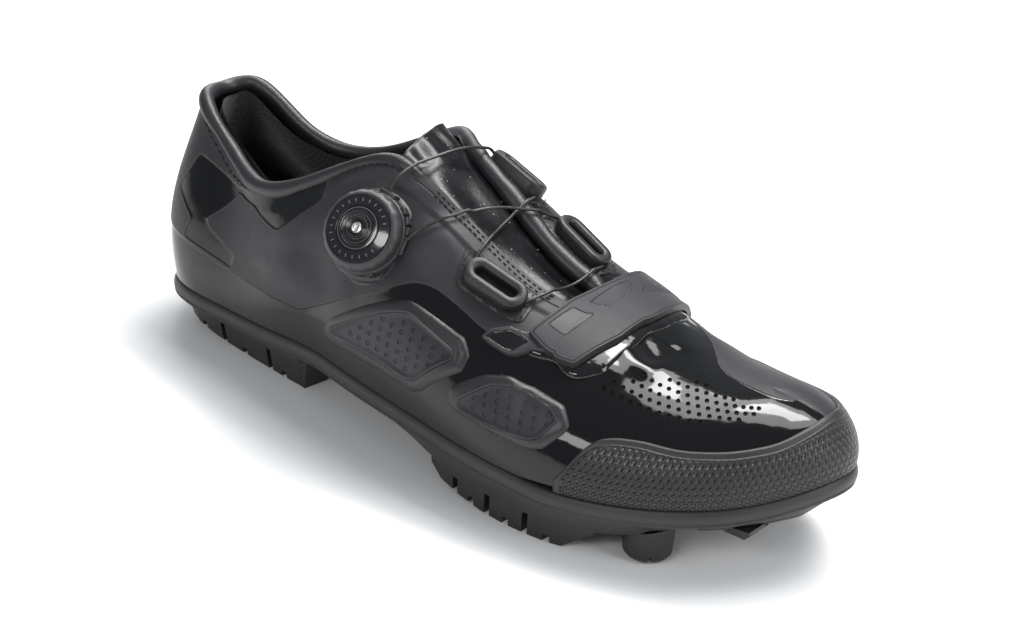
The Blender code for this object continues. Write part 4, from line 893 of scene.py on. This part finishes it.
def dots(name, places, radius, lift, look, rim_look, slot):
    """Punched holes: a near-black disc of painted shade in a small raised rim at each place."""
    bm = bmesh.new()
    ways = normal(*unfolded(*places.T))
    for point, way in zip(over(*places.T, lift), ways):
        way = Vector(way)
        place = Matrix.Translation(Vector(point)) @ way.to_track_quat("Z", "Y").to_matrix().to_4x4()
        made = bmesh.ops.create_circle(bm, cap_ends=True, radius=radius * 1.25, segments=14, matrix=place)
        disc = made["verts"][0].link_faces[0]
        bmesh.ops.inset_region(bm, faces=[disc], thickness=radius * 0.14, use_boundary=True)
        bmesh.ops.translate(bm, verts=disc.verts[:], vec=way * 0.00012)
        wall = bmesh.ops.inset_region(bm, faces=[disc], thickness=radius * 0.12, use_boundary=True)
        bmesh.ops.translate(bm, verts=disc.verts[:], vec=way * -0.00022)
        # The sunk disc and its wall take the near-black painted shade of the hole
        for dark in (disc, *wall["faces"]):
            dark.material_index = 1
        bmesh.ops.translate(bm, verts=made["verts"], vec=way * -0.00010)
    piece = finish_piece(name, bm, rim_look, slot)
    piece.data.materials.append(look)


def hole_places(outline, step_v, step_t, margin, slant):
    """A staggered lattice of places inside an outline, kept off its edge."""
    low_corner, high_corner = outline.min(0) / FLAT, outline.max(0) / FLAT
    places = []
    row = 0
    t = low_corner[1]
    while t < high_corner[1]:
        v = low_corner[0] + (row % 2) * step_v / 2 + slant * (t - low_corner[1])
        v -= step_v * 6
        while v < high_corner[0] + step_v * 2:
            places.append((v, t))
            v += step_v
        t += step_t
        row += 1
    places = np.array(places)
    return places[depth_in(places * FLAT, outline)[0] > margin]


def loft(name, points, look, slot, *replaced, around=True, along=False, layers=None, smooth=50.0):
    """A skin through rows of points; around and along say which way it closes on itself."""
    count, ring = points.shape[:2]
    bm, i, j = grid(count if along else count - 1, ring if around else ring - 1)
    i, j = i.astype(int) % count, j.astype(int) % ring
    shape(bm, points[i, j])
    kept = weld(bm, {key: values[i, j] for key, values in (layers or {}).items()}, 1e-7)
    if around and not along:
        bmesh.ops.holes_fill(bm, edges=[edge for edge in bm.edges if edge.is_boundary], sides=0)
    return finish_piece(name, bm, look, slot, *replaced, layers=kept, smooth=smooth)


def tube(name, path, radius, look, slot, *replaced, sides=10):
    """A round cord along a path of points."""
    along = unit(np.gradient(path, axis=0))
    side = unit(np.cross(along, (0.0, 0.3, 1.0)))
    turn = circle(sides)[None, :, None]
    ring = side[:, None] * np.cos(turn) + np.cross(side, along)[:, None] * np.sin(turn)
    loft(name, path[:, None] + ring * radius, look, slot, *replaced)


# A stitch's length and half its thickness
STITCH_LENGTH, STITCH_RADIUS = 0.0017, 0.00024


def stitches(name, lines, look, slot, pitch=0.0024, lift=0.0002):
    """Sewn thread along lines of (q, s) places: a short rounded bead for each stitch."""
    bm = bmesh.new()
    for line in lines:
        share, knots = np.linspace(0, 1, 40), np.linspace(0, 1, len(line))
        fine = [np.interp(share, knots, part) for part in np.array(line, float).T]
        run = run_along(over(*fine))
        count = max(2, int(run[-1] / pitch))
        middles = (np.arange(count) + 0.5) * run[-1] / count
        heights = np.interp(middles, run, lift + relief(*fine))
        starts, ends = (
            over(*(np.interp(middles + half, run, part) for part in fine), heights)
            for half in (-STITCH_LENGTH / 2, STITCH_LENGTH / 2))
        for start, end in zip(starts, ends):
            way = Vector(end - start)
            turn = way.to_track_quat("X", "Z").to_matrix().to_4x4()
            place = Matrix.Translation(Vector((start + end) / 2)) @ turn
            size = Matrix.Diagonal((way.length / 2, STITCH_RADIUS, STITCH_RADIUS, 1.0))
            bmesh.ops.create_uvsphere(bm, u_segments=6, v_segments=5, radius=1.0, matrix=place @ size)
    finish_piece(name, bm, look, slot)


# Sole: x as a share of the length, underside as a share of the edge's height, lower inset of the width
UNDERSIDE = np.array([
    (-0.02, 0.56, 0.036), (0.05, 0.50, 0.034), (0.300, 0.50, 0.030), (0.312, 0.64, 0.030),
    (0.36, 0.67, 0.028), (0.42, 0.69, 0.026), (0.48, 0.65, 0.024), (0.53, 0.58, 0.021),
    (0.560, 0.50, 0.018), (0.585, 0.43, 0.015), (0.795, 0.43, 0.022), (0.83, 0.49, 0.034),
    (0.865, 0.62, 0.042), (0.90, 0.75, 0.044), (0.95, 0.83, 0.042), (0.98, 0.93, 0.036),
    (1.00, 1.20, 0.030), (1.02, 1.32, 0.026)])
# The rim from its inner edge over the top and down to the parting groove: out and drop in metres
SOLE_RIM = (
    (-0.0046, 0.0035), (-0.0043, 0.0004), (-0.0038, 0.0), (-0.0010, 0.0), (-0.0004, 0.0002), (0.0, 0.0007),
    (0.0005, 0.0020), (0.0006, 0.0032), (0.0005, 0.0042), (0.0, 0.0046), (0.0, 0.0050), (0.0003, 0.0054))
# The lower edge's round, and how far under the edge the flush side starts
SOLE_ROUND, SIDE_START = 0.0012, 0.0060


def sole_line(v, out, drop):
    """Points round the sole's edge, moved outwards and down; out and drop in metres."""
    rows = rows_at(v)
    plan = rows[:, :2] + edge_normal(v) * np.broadcast_to(out, v.shape)[:, None]
    return np.concatenate([plan, (rows[:, 2] - drop)[:, None]], axis=1)


def build_sole(look):
    """The plate's shell: a rounded rim, a parting groove, a flush side and a rounded lower edge."""
    count = 480
    v = 2 * np.arange(count) / count
    ledge = 0.0004 + 0.00175 * (1 - smoothstep(0.30, 0.38, folded(v)))
    edge = rows_at(v)
    x = edge[:, 0] / LENGTH
    under = np.interp(x, UNDERSIDE[:, 0], UNDERSIDE[:, 1]) * EDGE
    inset = np.interp(x, UNDERSIDE[:, 0], UNDERSIDE[:, 2]) * WIDTH
    # The shallow recess in the outer side behind the toe
    notch = 0.0016 * smoothstep(0.853, 0.858, x) * smoothstep(0.909, 0.904, x) * (v < 1)
    side_end = edge[:, 2] - under - SOLE_ROUND
    rings = [sole_line(v, ledge + out, drop) for out, drop in SOLE_RIM]
    for u in np.linspace(0.0, 1.0, 8):
        out = ledge + 0.0002 - (inset + 0.0002) * u - notch * (u > 0.15)
        rings.append(sole_line(v, out, SIDE_START + (side_end - SIDE_START) * u))
    for turn in np.array([0.3, 0.6, 0.85, 1.0]) * math.pi / 2:
        out = ledge - inset - notch - SOLE_ROUND * (1 - math.cos(turn))
        rings.append(sole_line(v, out, side_end + SOLE_ROUND * math.sin(turn)))
    last = rings[-1]
    mirror = last[-np.arange(count) % count]
    rings += [last + (mirror - last) * u for u in np.linspace(0.0, 0.5, 9)[1:]]
    points = np.stack(rings, axis=1) + OFFSET
    loft("sole_shell", points, look, "sole_plate", "sole_plate", around=False, along=True, smooth=38)


def roll_size(v):
    """The collar roll's size: full round the collar, slim along the outer throat, wider on the inner."""
    q = folded(v)
    throat = np.where(v < 1, 0.16 + 0.30 * smoothstep(0.585, 0.60, q), 1.15)
    return (throat + (1 - throat) * smoothstep(0.625, 0.690, q)) * smoothstep(0.372, 0.42, q)


# The collar roll: its middle from the top line, outwards and up, and its half width and half height
ROLL_OUT, ROLL_UP, ROLL_HALF_WIDTH, ROLL_HALF_HEIGHT = -0.0011, -0.0016, 0.0029, 0.0033
# The padded lining's thickness at its ends and what it gains round the heel
PAD_THIN, PAD_GAIN = 0.0010, 0.0040


def build_collar(look, inner_look):
    """The padded roll along the collar and the throat, and the soft lining inside it."""
    throat_rows, collar_rows = 90, 260
    v = np.concatenate([
        np.linspace(0.380, 0.66, throat_rows), np.linspace(0.66, 1.34, collar_rows)[1:],
        np.linspace(1.34, 1.62, throat_rows)[1:]])
    size = roll_size(v)
    origin, out = on(v, 1.0), normal(v, np.full(len(v), 0.985))
    up = unit(origin - on(v, 0.96))
    full = (size * (1 + 0.05 * np.sin(v * 61) + 0.04 * np.sin(v * 143 + 1)))[:, None]
    turn = circle(20)
    across = (ROLL_OUT + ROLL_HALF_WIDTH * np.cos(turn)) * full - 0.0008 * (1 - size)[:, None]
    rise = (ROLL_UP + ROLL_HALF_HEIGHT * np.sin(turn)) * full
    points = origin[:, None] + out[:, None] * across[:, :, None] + up[:, None] * rise[:, :, None]
    loft("collar_roll", points, look, "lining_fabric")
    v = np.linspace(0.655, 1.345, 230)
    t = np.linspace(0.985, 0.42, 34)
    pad = (PAD_THIN + PAD_GAIN * smoothstep(0.655, 0.74, folded(v))[:, None]) * smoothstep(0.40, 0.80, t)
    pad = pad * (1 + 0.06 * np.sin(v * 47)[:, None] * np.sin(t * 9))
    rows = [on(v, height, -WALL - 0.0002 - thick) for height, thick in zip(t, pad.T)]
    points = np.stack(rows, axis=1)
    loft("collar_pad", points, inner_look, "lining_fabric", "collar_lining", around=False)


# Tongue: how far it lies under the top line, the share of its width under each eyestay, its thickness
TONGUE_GAP, TUCKED, TONGUE_THICK = -WALL - 0.0006, 0.24, 0.0026
# The ends of its top edge, as shares of the length, the width and the rise
TONGUE_TOP = ((0.402, -0.165, 1.000), (0.374, 0.138, 1.046))


def tongue_row(station, count):
    """Points across the tongue at a station: under the outer edge, over the gap, under the inner edge."""
    w = np.linspace(0, 1, count)
    outer, inner = (on(v, 1.0, TONGUE_GAP)[0] for v in (station, 2 - station))
    span = lengths(inner - outer) * 0.8
    leave = unit(outer - on(station, 0.93, TONGUE_GAP)[0]) * span
    arrive = unit(on(2 - station, 0.93, TONGUE_GAP)[0] - inner) * span
    u = np.clip((w - TUCKED) / (1 - 2 * TUCKED), 0, 1)[:, None]
    middle = (2 * u**3 - 3 * u**2 + 1) * outer + (u**3 - 2 * u**2 + u) * leave
    middle = middle + (3 * u**2 - 2 * u**3) * inner + (u**3 - u**2) * arrive
    left, right = (on(v, 1 - 0.20 * np.clip(1 - share / TUCKED, 0, 1), TONGUE_GAP)
                   for v, share in ((station, w), (2 - station, 1 - w)))
    return np.where((w < TUCKED)[:, None], left, np.where((w > 1 - TUCKED)[:, None], right, middle))


def build_tongue(look):
    """The tongue: flat and glossy under the throat, its square top edge standing free."""
    count = 56
    rows = [tongue_row(station, count) for station in np.linspace(0.375, 0.645, 60)]
    w = np.linspace(0, 1, count)
    shown = rows[-1][round(0.22 * count):round(0.78 * count)]
    last = np.stack([np.interp(w, np.linspace(0, 1, len(shown)), part) for part in shown.T], axis=1)
    start, end = np.array(TONGUE_TOP) * (LENGTH, WIDTH, RISE) + (0, 0, EDGE) + OFFSET
    edge = start + (end - start) * w[:, None] + np.array([0, 0, 0.0018]) * np.sin(np.pi * w)[:, None]
    rows += [last + (edge - last) * u for u in np.linspace(0.10, 1.0, 22)]
    top = np.array(rows)
    top[:, :, 2] += 0.0005 * np.sin(w * 17)[None, :] * np.sin(np.linspace(0, 9, len(rows)))[:, None]
    facing = unit(np.cross(np.gradient(top, axis=0), np.gradient(top, axis=1)))
    if facing[30, 28, 2] < 0:
        facing = -facing
    rim = np.min([lengths(top - line) for line in (top[-1:], top[:, :1], top[:, -1:])], axis=0)
    thick = TONGUE_THICK * quarter_round(rim / 0.0012)
    low, high = (top - facing * ((TONGUE_THICK + side * thick) / 2)[:, :, None] for side in (1, -1))
    points = np.concatenate([high, low[:, -2:0:-1]], axis=1)
    loft("tongue_skin", points, look, "tongue_synthetic", "tongue")


# Lace guides as (v, t): the middle of each and the place it points to
GUIDES = {
    "lace_guide_outer": ((0.4675, 0.80), (0.44, 0.82)),
    "lace_guide_upper_inner": ((1.43, 0.84), (1.46, 0.85)),
    "lace_guide_lower_inner": ((1.5375, 0.856), (1.57, 0.865))}
# A guide's loop: half its straight, the radius of its ends, and the half sizes and height of its section
GUIDE_STRAIGHT, GUIDE_BEND = 0.00635, 0.0037
GUIDE_HALF_WIDTH, GUIDE_HALF_HEIGHT, GUIDE_RAISED = 0.0020, 0.0034, 0.0022


def seat(place, toward):
    """A matrix on the upper: z along its normal, x towards another place."""
    (v, t), (v2, t2) = place, toward
    base = Vector(on(v, t)[0])
    way = Vector(normal(np.array([v]), np.array([t]))[0])
    ahead = Vector(on(v2, t2)[0]) - base
    ahead = (ahead - way * ahead.dot(way)).normalized()
    return Matrix.Translation(base) @ Matrix((ahead, way.cross(ahead), way)).transposed().to_4x4()


def placed(points, matrix):
    """Rows of points carried by a matrix."""
    turn = np.array(matrix)
    return points @ turn[:3, :3].T + turn[:3, 3]


def build_guide(name, look):
    """A moulded guide: a long loop with a rounded section round an open slot."""
    around, section = circle(60), circle(16)
    way = np.stack([np.cos(around), np.sin(around), around * 0], axis=1)
    ends = GUIDE_STRAIGHT * np.sign(way[:, 0]) * (np.abs(way[:, 0]) > 1e-3)
    centre = np.stack([ends, around * 0, around * 0], axis=1)
    a, b = (np.sign(wave) * np.abs(wave) ** 0.5 for wave in (np.cos(section), np.sin(section)))
    out = (GUIDE_BEND + GUIDE_HALF_WIDTH * a)[None, :, None]
    up = (GUIDE_HALF_HEIGHT * b + GUIDE_RAISED)[None, :, None]
    points = centre[:, None] + way[:, None] * out + np.array([0, 0, 1.0]) * up
    points = placed(points, seat(*GUIDES[name]))
    loft(name + "_loop", points, look, "dial_plastic", name, along=True, smooth=60)


def patch_outline(place, toward, length, width):
    """A rounded patch in flat metres, centred on a (q, s) place and pointing to another."""
    middle = np.array(place) * FLAT
    ahead = np.array(toward) * FLAT - middle
    ahead = ahead / lengths(ahead)
    side = np.array([-ahead[1], ahead[0]])
    signs = ((1, 1), (-1, 1), (-1, -1), (1, -1))
    corners = [middle + ahead * x * length / 2 + side * y * width / 2 for x, y in signs]
    return rounded(np.array(corners) / FLAT, 0.0045)


def drawn_in(outline, distance):
    """An outline moved inwards, as (q, s) places, closed."""
    middle = outline.mean(0)
    inner = middle + (outline - middle) * (1 - distance / lengths(outline - middle)[:, None])
    return np.concatenate([inner, inner[:1]]) / FLAT


# The dial: its seat on the upper, its axis, and the angles where the lace leaves it, in degrees
DIAL_PLACE = (0.6400, 0.598)
DIAL_AXIS = Vector((0.20, -0.83, 0.53)).normalized()
DIAL_EXITS = (84.0, 3.0)
AHEAD = (Vector((1, 0, 0)) - DIAL_AXIS * DIAL_AXIS.x).normalized()
DIAL_TURN = Matrix.Translation(Vector(on(*DIAL_PLACE)[0]))
DIAL_TURN = DIAL_TURN @ Matrix((AHEAD, DIAL_AXIS.cross(AHEAD), DIAL_AXIS)).transposed().to_4x4()


def turned(name, profile, look, slot, *replaced, steps=120, lobes=0, depth=0.0):
    """A piece turned on the dial's axis from (radius, height) pairs in mm, its rim lobed if asked."""
    radius, height = np.array(profile, float).T / 1000
    turn = circle(steps)[:, None]
    r = radius - depth / 1000 * np.cos(lobes * turn) ** 2 * (radius > radius.max() * 0.93)
    points = np.stack([r * np.cos(turn), r * np.sin(turn), np.broadcast_to(height, r.shape)], axis=2)
    layers = {"radius": r * 1000, "angle": np.broadcast_to(turn / math.tau, r.shape)}
    loft(name, placed(points, DIAL_TURN), look, slot, *replaced, around=False, along=True, layers=layers,
         smooth=35)


def blocks(name, boxes, look):
    """Small rounded blocks on the dial: each an angle, a radius, a height and three sizes in mm."""
    bm = bmesh.new()
    for angle, reach, height, size in boxes:
        turn = DIAL_TURN @ Matrix.Rotation(math.radians(angle), 4, "Z")
        place = turn @ Matrix.Translation((reach / 1000, 0, height / 1000))
        scale = Matrix.Diagonal((*(side / 1000 for side in size), 1))
        made = bmesh.ops.create_cube(bm, size=1.0, matrix=place @ scale)
        edges = list({edge for vert in made["verts"] for edge in vert.link_edges})
        bmesh.ops.bevel(bm, geom=edges, offset=0.0003, segments=2, profile=0.5, affect="EDGES", material=-1)
    finish_piece(name, bm, look, "dial_plastic")


def build_dial(base_look, knob_look, face_look, screw_look, dark):
    turned("dial_housing", [
        (16.4, -9), (16.4, -0.5), (16.1, 0.2), (15.3, 0.8), (14.9, 1.1), (14.8, 4.2), (14.4, 5.0),
        (13.9, 5.3), (12.8, 5.3), (12.6, 4.9), (0.0, 4.9)], base_look, "dial_plastic", "dial_base")
    turned("dial_grip", [
        (12.4, 5.5), (13.6, 5.5), (14.1, 5.8), (14.3, 6.3), (14.3, 7.6), (14.1, 8.4), (13.6, 9.2),
        (12.9, 9.9), (12.3, 10.3), (11.95, 10.4), (11.85, 10.0), (0.0, 10.0)], knob_look, "dial_rubber",
           "dial_knob", lobes=10, depth=0.25)
    turned("dial_face", [
        (11.75, 10.0), (11.75, 10.5), (11.6, 10.75), (11.1, 10.9), (8.4, 11.3), (8.0, 11.4), (7.8, 11.15),
        (7.5, 11.15), (7.3, 11.5), (5.9, 11.65), (5.7, 11.45), (5.4, 11.45), (5.2, 11.7), (4.6, 11.75),
        (4.4, 11.55), (4.1, 11.55), (3.9, 11.85), (2.6, 11.95), (2.4, 11.6), (0.0, 11.6)], face_look,
           "gloss_plastic", "dial_cap")
    turned("dial_hex", [
        (2.0, 11.5), (2.0, 12.2), (1.8, 12.5), (1.3, 12.6), (1.1, 12.4), (1.0, 11.8), (0.0, 11.7)],
           screw_look, "steel", "dial_screw", steps=36)
    ribs = [(angle, 15.1, 2.9, (1.5, 2.9, 3.8)) for angle in (22, 36, 50)]
    ribs += [(angle, 14.8, 2.9, (1.2, 2.4, 3.6)) for angle in (-58, 118, 200)]
    blocks("dial_ribs", ribs, base_look)
    # The lace exits are blocks of near-black painted shade, standing in for the shade inside the openings
    blocks("dial_exits", [(angle, 15.5, 3.2, (0.9, 3.4, 1.8)) for angle in DIAL_EXITS], dark)
    blocks("dial_spouts", [(angle, 14.9, 2.6, (1.8, 6.4, 4.6)) for angle in DIAL_EXITS], base_look)


# Lace: half its thickness, how far its middle keeps off other pieces and the rounds of easing; where it
# meets a guide, along it, beside its middle and over the upper; where it meets the dial; and the number
# of points of a run in a guide, which stay put
LACE_RADIUS, LACE_CLEAR, EASING_ROUNDS = 0.00055, 0.0016, 16
GUIDE_REACH, GUIDE_SIDE, GUIDE_HEIGHT = 0.0098, 0.0026, 0.0014
DIAL_REACH, DIAL_HEIGHT = 0.0150, 0.0034
IN_GUIDE = 14


def bow(start, leave, arrive, end, count=40):
    """A smooth run from start to end; leave and arrive are how it sets off and how it comes in, in mm."""
    u = np.linspace(0, 1, count)[:, None]
    return bezier(start, start + np.array(leave) / 1000, end + np.array(arrive) / 1000, end, u)


def guide_mouth(name, end, side):
    """Where the lace enters a guide: at its end towards the heel, -1, or the toe, 1."""
    return np.array(seat(*GUIDES[name]) @ Vector((end * GUIDE_REACH, side, GUIDE_HEIGHT)))


def dial_mouth(angle):
    turn = math.radians(angle)
    out = Vector((math.cos(turn), math.sin(turn), 0)) * DIAL_REACH
    return np.array(DIAL_TURN @ (out + Vector((0, 0, DIAL_HEIGHT))))


def keep_off(path, held):
    """Eases a path smooth while its free points stay clear of the upper, the roll and the tongue."""
    trees = []
    for name in ("upper_skin", "collar_roll", "tongue_skin"):
        mesh = bpy.data.objects[name].data
        faces = [tuple(face.vertices) for face in mesh.polygons]
        trees.append(BVHTree.FromPolygons([vert.co for vert in mesh.vertices], faces))
    for _ in range(EASING_ROUNDS):
        eased = path.copy()
        eased[1:-1] = path[1:-1] * 0.5 + (path[:-2] + path[2:]) * 0.25
        path = np.where(held[:, None], path, eased)
        for k in np.nonzero(~held)[0]:
            for tree in trees:
                place, way, _, distance = tree.find_nearest(Vector(path[k]))
                off = (Vector(path[k]) - place).dot(way)
                if distance < 0.004 and off < LACE_CLEAR:
                    path[k] += np.array(way) * (LACE_CLEAR - off)
    return path


def build_lace(look):
    """One lace from the dial through the three guides and back to the dial."""
    upper, outer, lower = "lace_guide_upper_inner", "lace_guide_outer", "lace_guide_lower_inner"
    ends = {name: [guide_mouth(name, end, side) for end in (-1, 1)]
            for name, side in ((upper, GUIDE_SIDE), (outer, -GUIDE_SIDE), (lower, GUIDE_SIDE))}
    start, last = dial_mouth(DIAL_EXITS[0]), dial_mouth(DIAL_EXITS[1])
    over_tongue = (start + ends[upper][0]) / 2 + np.array([-1.2, -3.5, 8.6]) / 1000
    over_edge = (ends[lower][0] + last) / 2 + np.array([-0.6, -4.4, 10.6]) / 1000
    runs = [
        bow(start, (0.2, 0.5, 7.5), (-1.6, -8.0, -0.4), over_tongue),
        bow(over_tongue, (1.8, 9.0, 1.6), (-2.6, -3.5, 9.0), ends[upper][0]),
        bow(ends[upper][0], (3, -0.5, -1), (-3, -0.5, 1), ends[upper][1], IN_GUIDE),
        bow(ends[upper][1], (3.0, -14.0, 0.5), (-3.0, 8.0, 7.5), ends[outer][0]),
        bow(ends[outer][0], (3, 0.5, -1), (-3, 0.5, 1), ends[outer][1], IN_GUIDE),
        bow(ends[outer][1], (4.5, 6.0, 2.5), (6.5, -7.0, 0.5), ends[lower][1]),
        bow(ends[lower][1], (-3, -0.5, 1), (3, -0.5, -1), ends[lower][0], IN_GUIDE),
        bow(ends[lower][0], (-4.5, -4.0, 5.0), (3.6, 9.0, 1.4), over_edge),
        bow(over_edge, (-3.0, -8.0, -1.2), (3.6, 4.0, 9.4), last),
    ]
    held = [np.full(len(run) - 1, len(run) == IN_GUIDE) for run in runs[:-1]]
    held = np.concatenate([*held, np.zeros(len(runs[-1]), bool)])
    held[:3] = held[-3:] = True
    path = np.concatenate([run[:-1] for run in runs[:-1]] + [runs[-1]])
    path = keep_off(path, held)
    tube("lace_cord", path, LACE_RADIUS, look, "lace", "lace_upper", "lace_crossing", "lace_lower")


# Materials

# Painted shade: a near-black material put inside holes and openings, where there is only shade
painted_hole_shade = plain_look("painted_hole_shade", (0.002, 0.002, 0.002), 0.95, specular=0.1)
skin = upper_look()
rubber = rubber_look("sole_rubber", 0.014, 0.028)
tread = rubber_look("tread_rubber", 0.012, 0.024)
satin = plain_look("satin_black", (0.018, 0.018, 0.020), 0.42)
gloss = plain_look(
    "patent_black", (0.0045, 0.0045, 0.005), 0.08, grain=140, depth=0.0004, coat=0.1, spread=0.06)
moulded = plain_look("moulded_guide", (0.012, 0.012, 0.013), 0.42)
binding = plain_look("binding", (0.016, 0.016, 0.018), 0.40, grain=1300, depth=0.0002)
thread = plain_look("thread", (0.010, 0.010, 0.011), 0.55, grain=3000, depth=0.0002)
lining = knit_look("lining", (0.024, 0.024, 0.026))
insole_knit = knit_look("insole_knit", (0.016, 0.016, 0.017), 1100)
knob_rubber = plain_look("knob_rubber", (0.028, 0.028, 0.030), 0.42, grain=1500)

build_upper(skin)
build_toe_cap(cap_look())
build_sole(rubber)
build_collar(binding, lining)
build_tongue(tongue_look())
pad = pad_look()
for name, outline, field, solid in (
    ("rear_pad_skin", REAR_PAD, REAR_FIELD, "side_pad_rear"),
    ("front_pad_skin", FRONT_PAD, FRONT_FIELD, "side_pad_front"),
):
    overlay(name, outline, 0.0009, pad_height(field), pad, "upper_synthetic", solid,
            fields={"field": field_of(field)})


def panel_depth(flat):
    return np.max([depth_in(flat, outline)[0] for outline in STRAP_PANELS], axis=0)


def strap_height(depth, flat):
    """The strap stands full high over the crest and thins where it dives in on the inner side."""
    rise = 0.0016 + 0.0018 * smoothstep(-0.0002, 0.0006, depth)
    return rise * (1 - 0.75 * smoothstep(1.60, 1.80, flat[:, 1] / FLAT[1]))


def tab_height(depth, flat):
    sunk = 0.0006 * smoothstep(0, 0.0004, depth_in(flat, TAB_FIELD)[0])
    return stepped(0.0009, 0.0012, 0.0008)(depth, flat) - sunk


overlay("strap_landing_skin", LANDING, 0.0016, stepped(0.0004, 0.0008, 0.0015), gloss, "gloss_synthetic",
        "strap_landing")
overlay("strap_skin", STRAP, 0.0012, strap_height, strap_look(), "upper_synthetic", "forefoot_strap",
        fields={"field": panel_depth}, sink=0.0010)
overlay("tab_skin", TAB, 0.0006, tab_height, tab_look(), "gloss_synthetic", "strap_pull_tab",
        fields={"field": field_of(TAB_FIELD)})
places = hole_places(HOLES, 0.0126, 0.052, 0.0005, 0.0)
dots("toe_holes", places, 0.00062, relief(*places.T) + 0.0002, painted_hole_shade, gloss, "upper_synthetic")
for name, field, lattice in (
    ("rear_pad_holes", REAR_FIELD, (0.0165, 0.042, 0.0012, -0.22)),
    ("front_pad_holes", FRONT_FIELD, (0.0165, 0.045, 0.0010, -0.12)),
):
    dots(name, hole_places(field, *lattice), 0.00072, 0.0010, painted_hole_shade, pad, "upper_synthetic")
build_dial(satin, knob_rubber, dial_face_look(), metal_look(), painted_hole_shade)
for guide in GUIDES:
    build_guide(guide, moulded)
build_lace(lace_look())

# Sewn patches under the guides and the dial
patches = {
    "guide_patch_outer": patch_outline((0.4675, 0.80), (0.44, 0.82), 0.030, 0.0175),
    "guide_patch_upper": patch_outline((0.57, 1.155), (0.54, 1.145), 0.030, 0.0165),
    "guide_patch_lower": patch_outline((0.4625, 1.142), (0.43, 1.133), 0.030, 0.0165)}
for name, outline in patches.items():
    overlay(name, outline, 0.0012, sewn_on(0.0006, 0.0008), satin, "upper_synthetic")
turn = circle(48)
dial_patch_radius = 0.0178
dial_ring = np.array(DIAL_PLACE) * FLAT + np.stack([np.cos(turn), np.sin(turn)], axis=1) * dial_patch_radius
overlay("dial_patch", dial_ring, 0.0014, sewn_on(0.0005, 0.0006), satin, "upper_synthetic")

throat = [(0.415, 0.978), (0.47, 0.978), (0.52, 0.978), (0.57, 0.978), (0.592, 0.975)]
throat_lines = [throat, [(q, s - 0.028) for q, s in throat], [(q, 2.0 - s + 0.045) for q, s in throat]]
collar_line = [(q, s - 0.012) for q, s in COLLAR_SEAM[1:]]
for name, seams, settings in (
    ("throat_stitches", throat_lines, {}),
    ("patch_stitches", [drawn_in(outline, 0.0016) for outline in patches.values()], {"lift": 0.0012}),
    ("dial_stitches", [drawn_in(dial_ring, 0.0012)], {"lift": 0.0012}),
    ("collar_stitches", [collar_line, [(q, 2 - s) for q, s in collar_line]], {"pitch": 0.0030}),
):
    stitches(name, seams, thread, "upper_synthetic", **settings)

treads = ("forefoot_tread_outer", "forefoot_tread_inner", "heel_tread", "toe_lug_outer", "toe_lug_inner",
          "toe_stud_outer", "toe_stud_inner")
for node, look in (*((node, tread) for node in treads), ("insole", insole_knit)):
    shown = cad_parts[node].data
    shown.materials.clear()
    shown.materials.append(look)

# Floor, light and camera

bm = bmesh.new()
bmesh.ops.create_grid(bm, x_segments=1, y_segments=1, size=12.0)
mesh = bpy.data.meshes.new("floor")
bm.to_mesh(mesh)
bm.free()
floor = bpy.data.objects.new("floor", mesh)
bpy.context.collection.objects.link(floor)
floor_look = Look("floor", (0.93, 0.93, 0.93), 0.85, specular=0.1)
floor_look.bump(floor_look.noise(3, 2), 0.0005, 0.1)
mesh.materials.append(floor_look.material)

world = bpy.data.worlds.new("studio")
world.use_nodes = True
fill(world.node_tree.nodes["Background"], {"Color": (0.9, 0.95, 1.0, 1), "Strength": 0.30})
bpy.context.scene.world = world
bpy.context.scene.view_settings.view_transform = "Standard"


def area_light(name, place, target, size, power):
    data = bpy.data.lights.new(name, "AREA")
    data.shape = "RECTANGLE"
    data.size, data.size_y = size
    data.energy = power
    lamp = bpy.data.objects.new(name, data)
    lamp.location = place
    lamp.rotation_euler = (Vector(target) - Vector(place)).to_track_quat("-Z", "Y").to_euler()
    bpy.context.collection.objects.link(lamp)


area_light("top", (0.02, 0.50, 1.08), (0, 0, 0), (0.75, 0.24), 8)
area_light("top_soft", (0.0, 0.46, 1.14), (0, 0, 0), (1.3, 0.60), 14)
area_light("back_left", (-0.9, 0.7, 0.7), (0, 0, 0.04), (0.5, 0.9), 5)
area_light("right", (1.1, 0.1, 0.55), (0.05, 0, 0.03), (0.35, 0.8), 5)
area_light("front", (0.2, -1.3, 0.9), (0, 0, 0.03), (0.8, 0.3), 6)

# The camera as fitted to the photo's outline: angles in degrees, lens in mm, distance in metres
AZIMUTH, ELEVATION, ROLL = 38.457, 25.811, 4.578
LENS, SENSOR, DISTANCE = 72.61, 36.0, 0.720653
LOOKED_AT = Vector((0.157676, 0.0, 0.047652)) + Vector(OFFSET)
azimuth, elevation, roll = (math.radians(angle) for angle in (AZIMUTH, ELEVATION, ROLL))
level = math.cos(elevation)
back = Vector((math.sin(azimuth) * level, -math.cos(azimuth) * level, math.sin(elevation)))
right = Vector((math.cos(azimuth), math.sin(azimuth), 0))
up = back.cross(right)
right, up = right * math.cos(roll) + up * math.sin(roll), up * math.cos(roll) - right * math.sin(roll)
camera_data = bpy.data.cameras.new("camera")
camera_data.sensor_width = SENSOR
camera_data.lens = LENS
camera = bpy.data.objects.new("camera", camera_data)
turn = Matrix((right, up, back)).transposed().to_4x4()
camera.matrix_world = Matrix.Translation(LOOKED_AT + back * DISTANCE) @ turn
bpy.context.collection.objects.link(camera)
bpy.context.scene.camera = camera
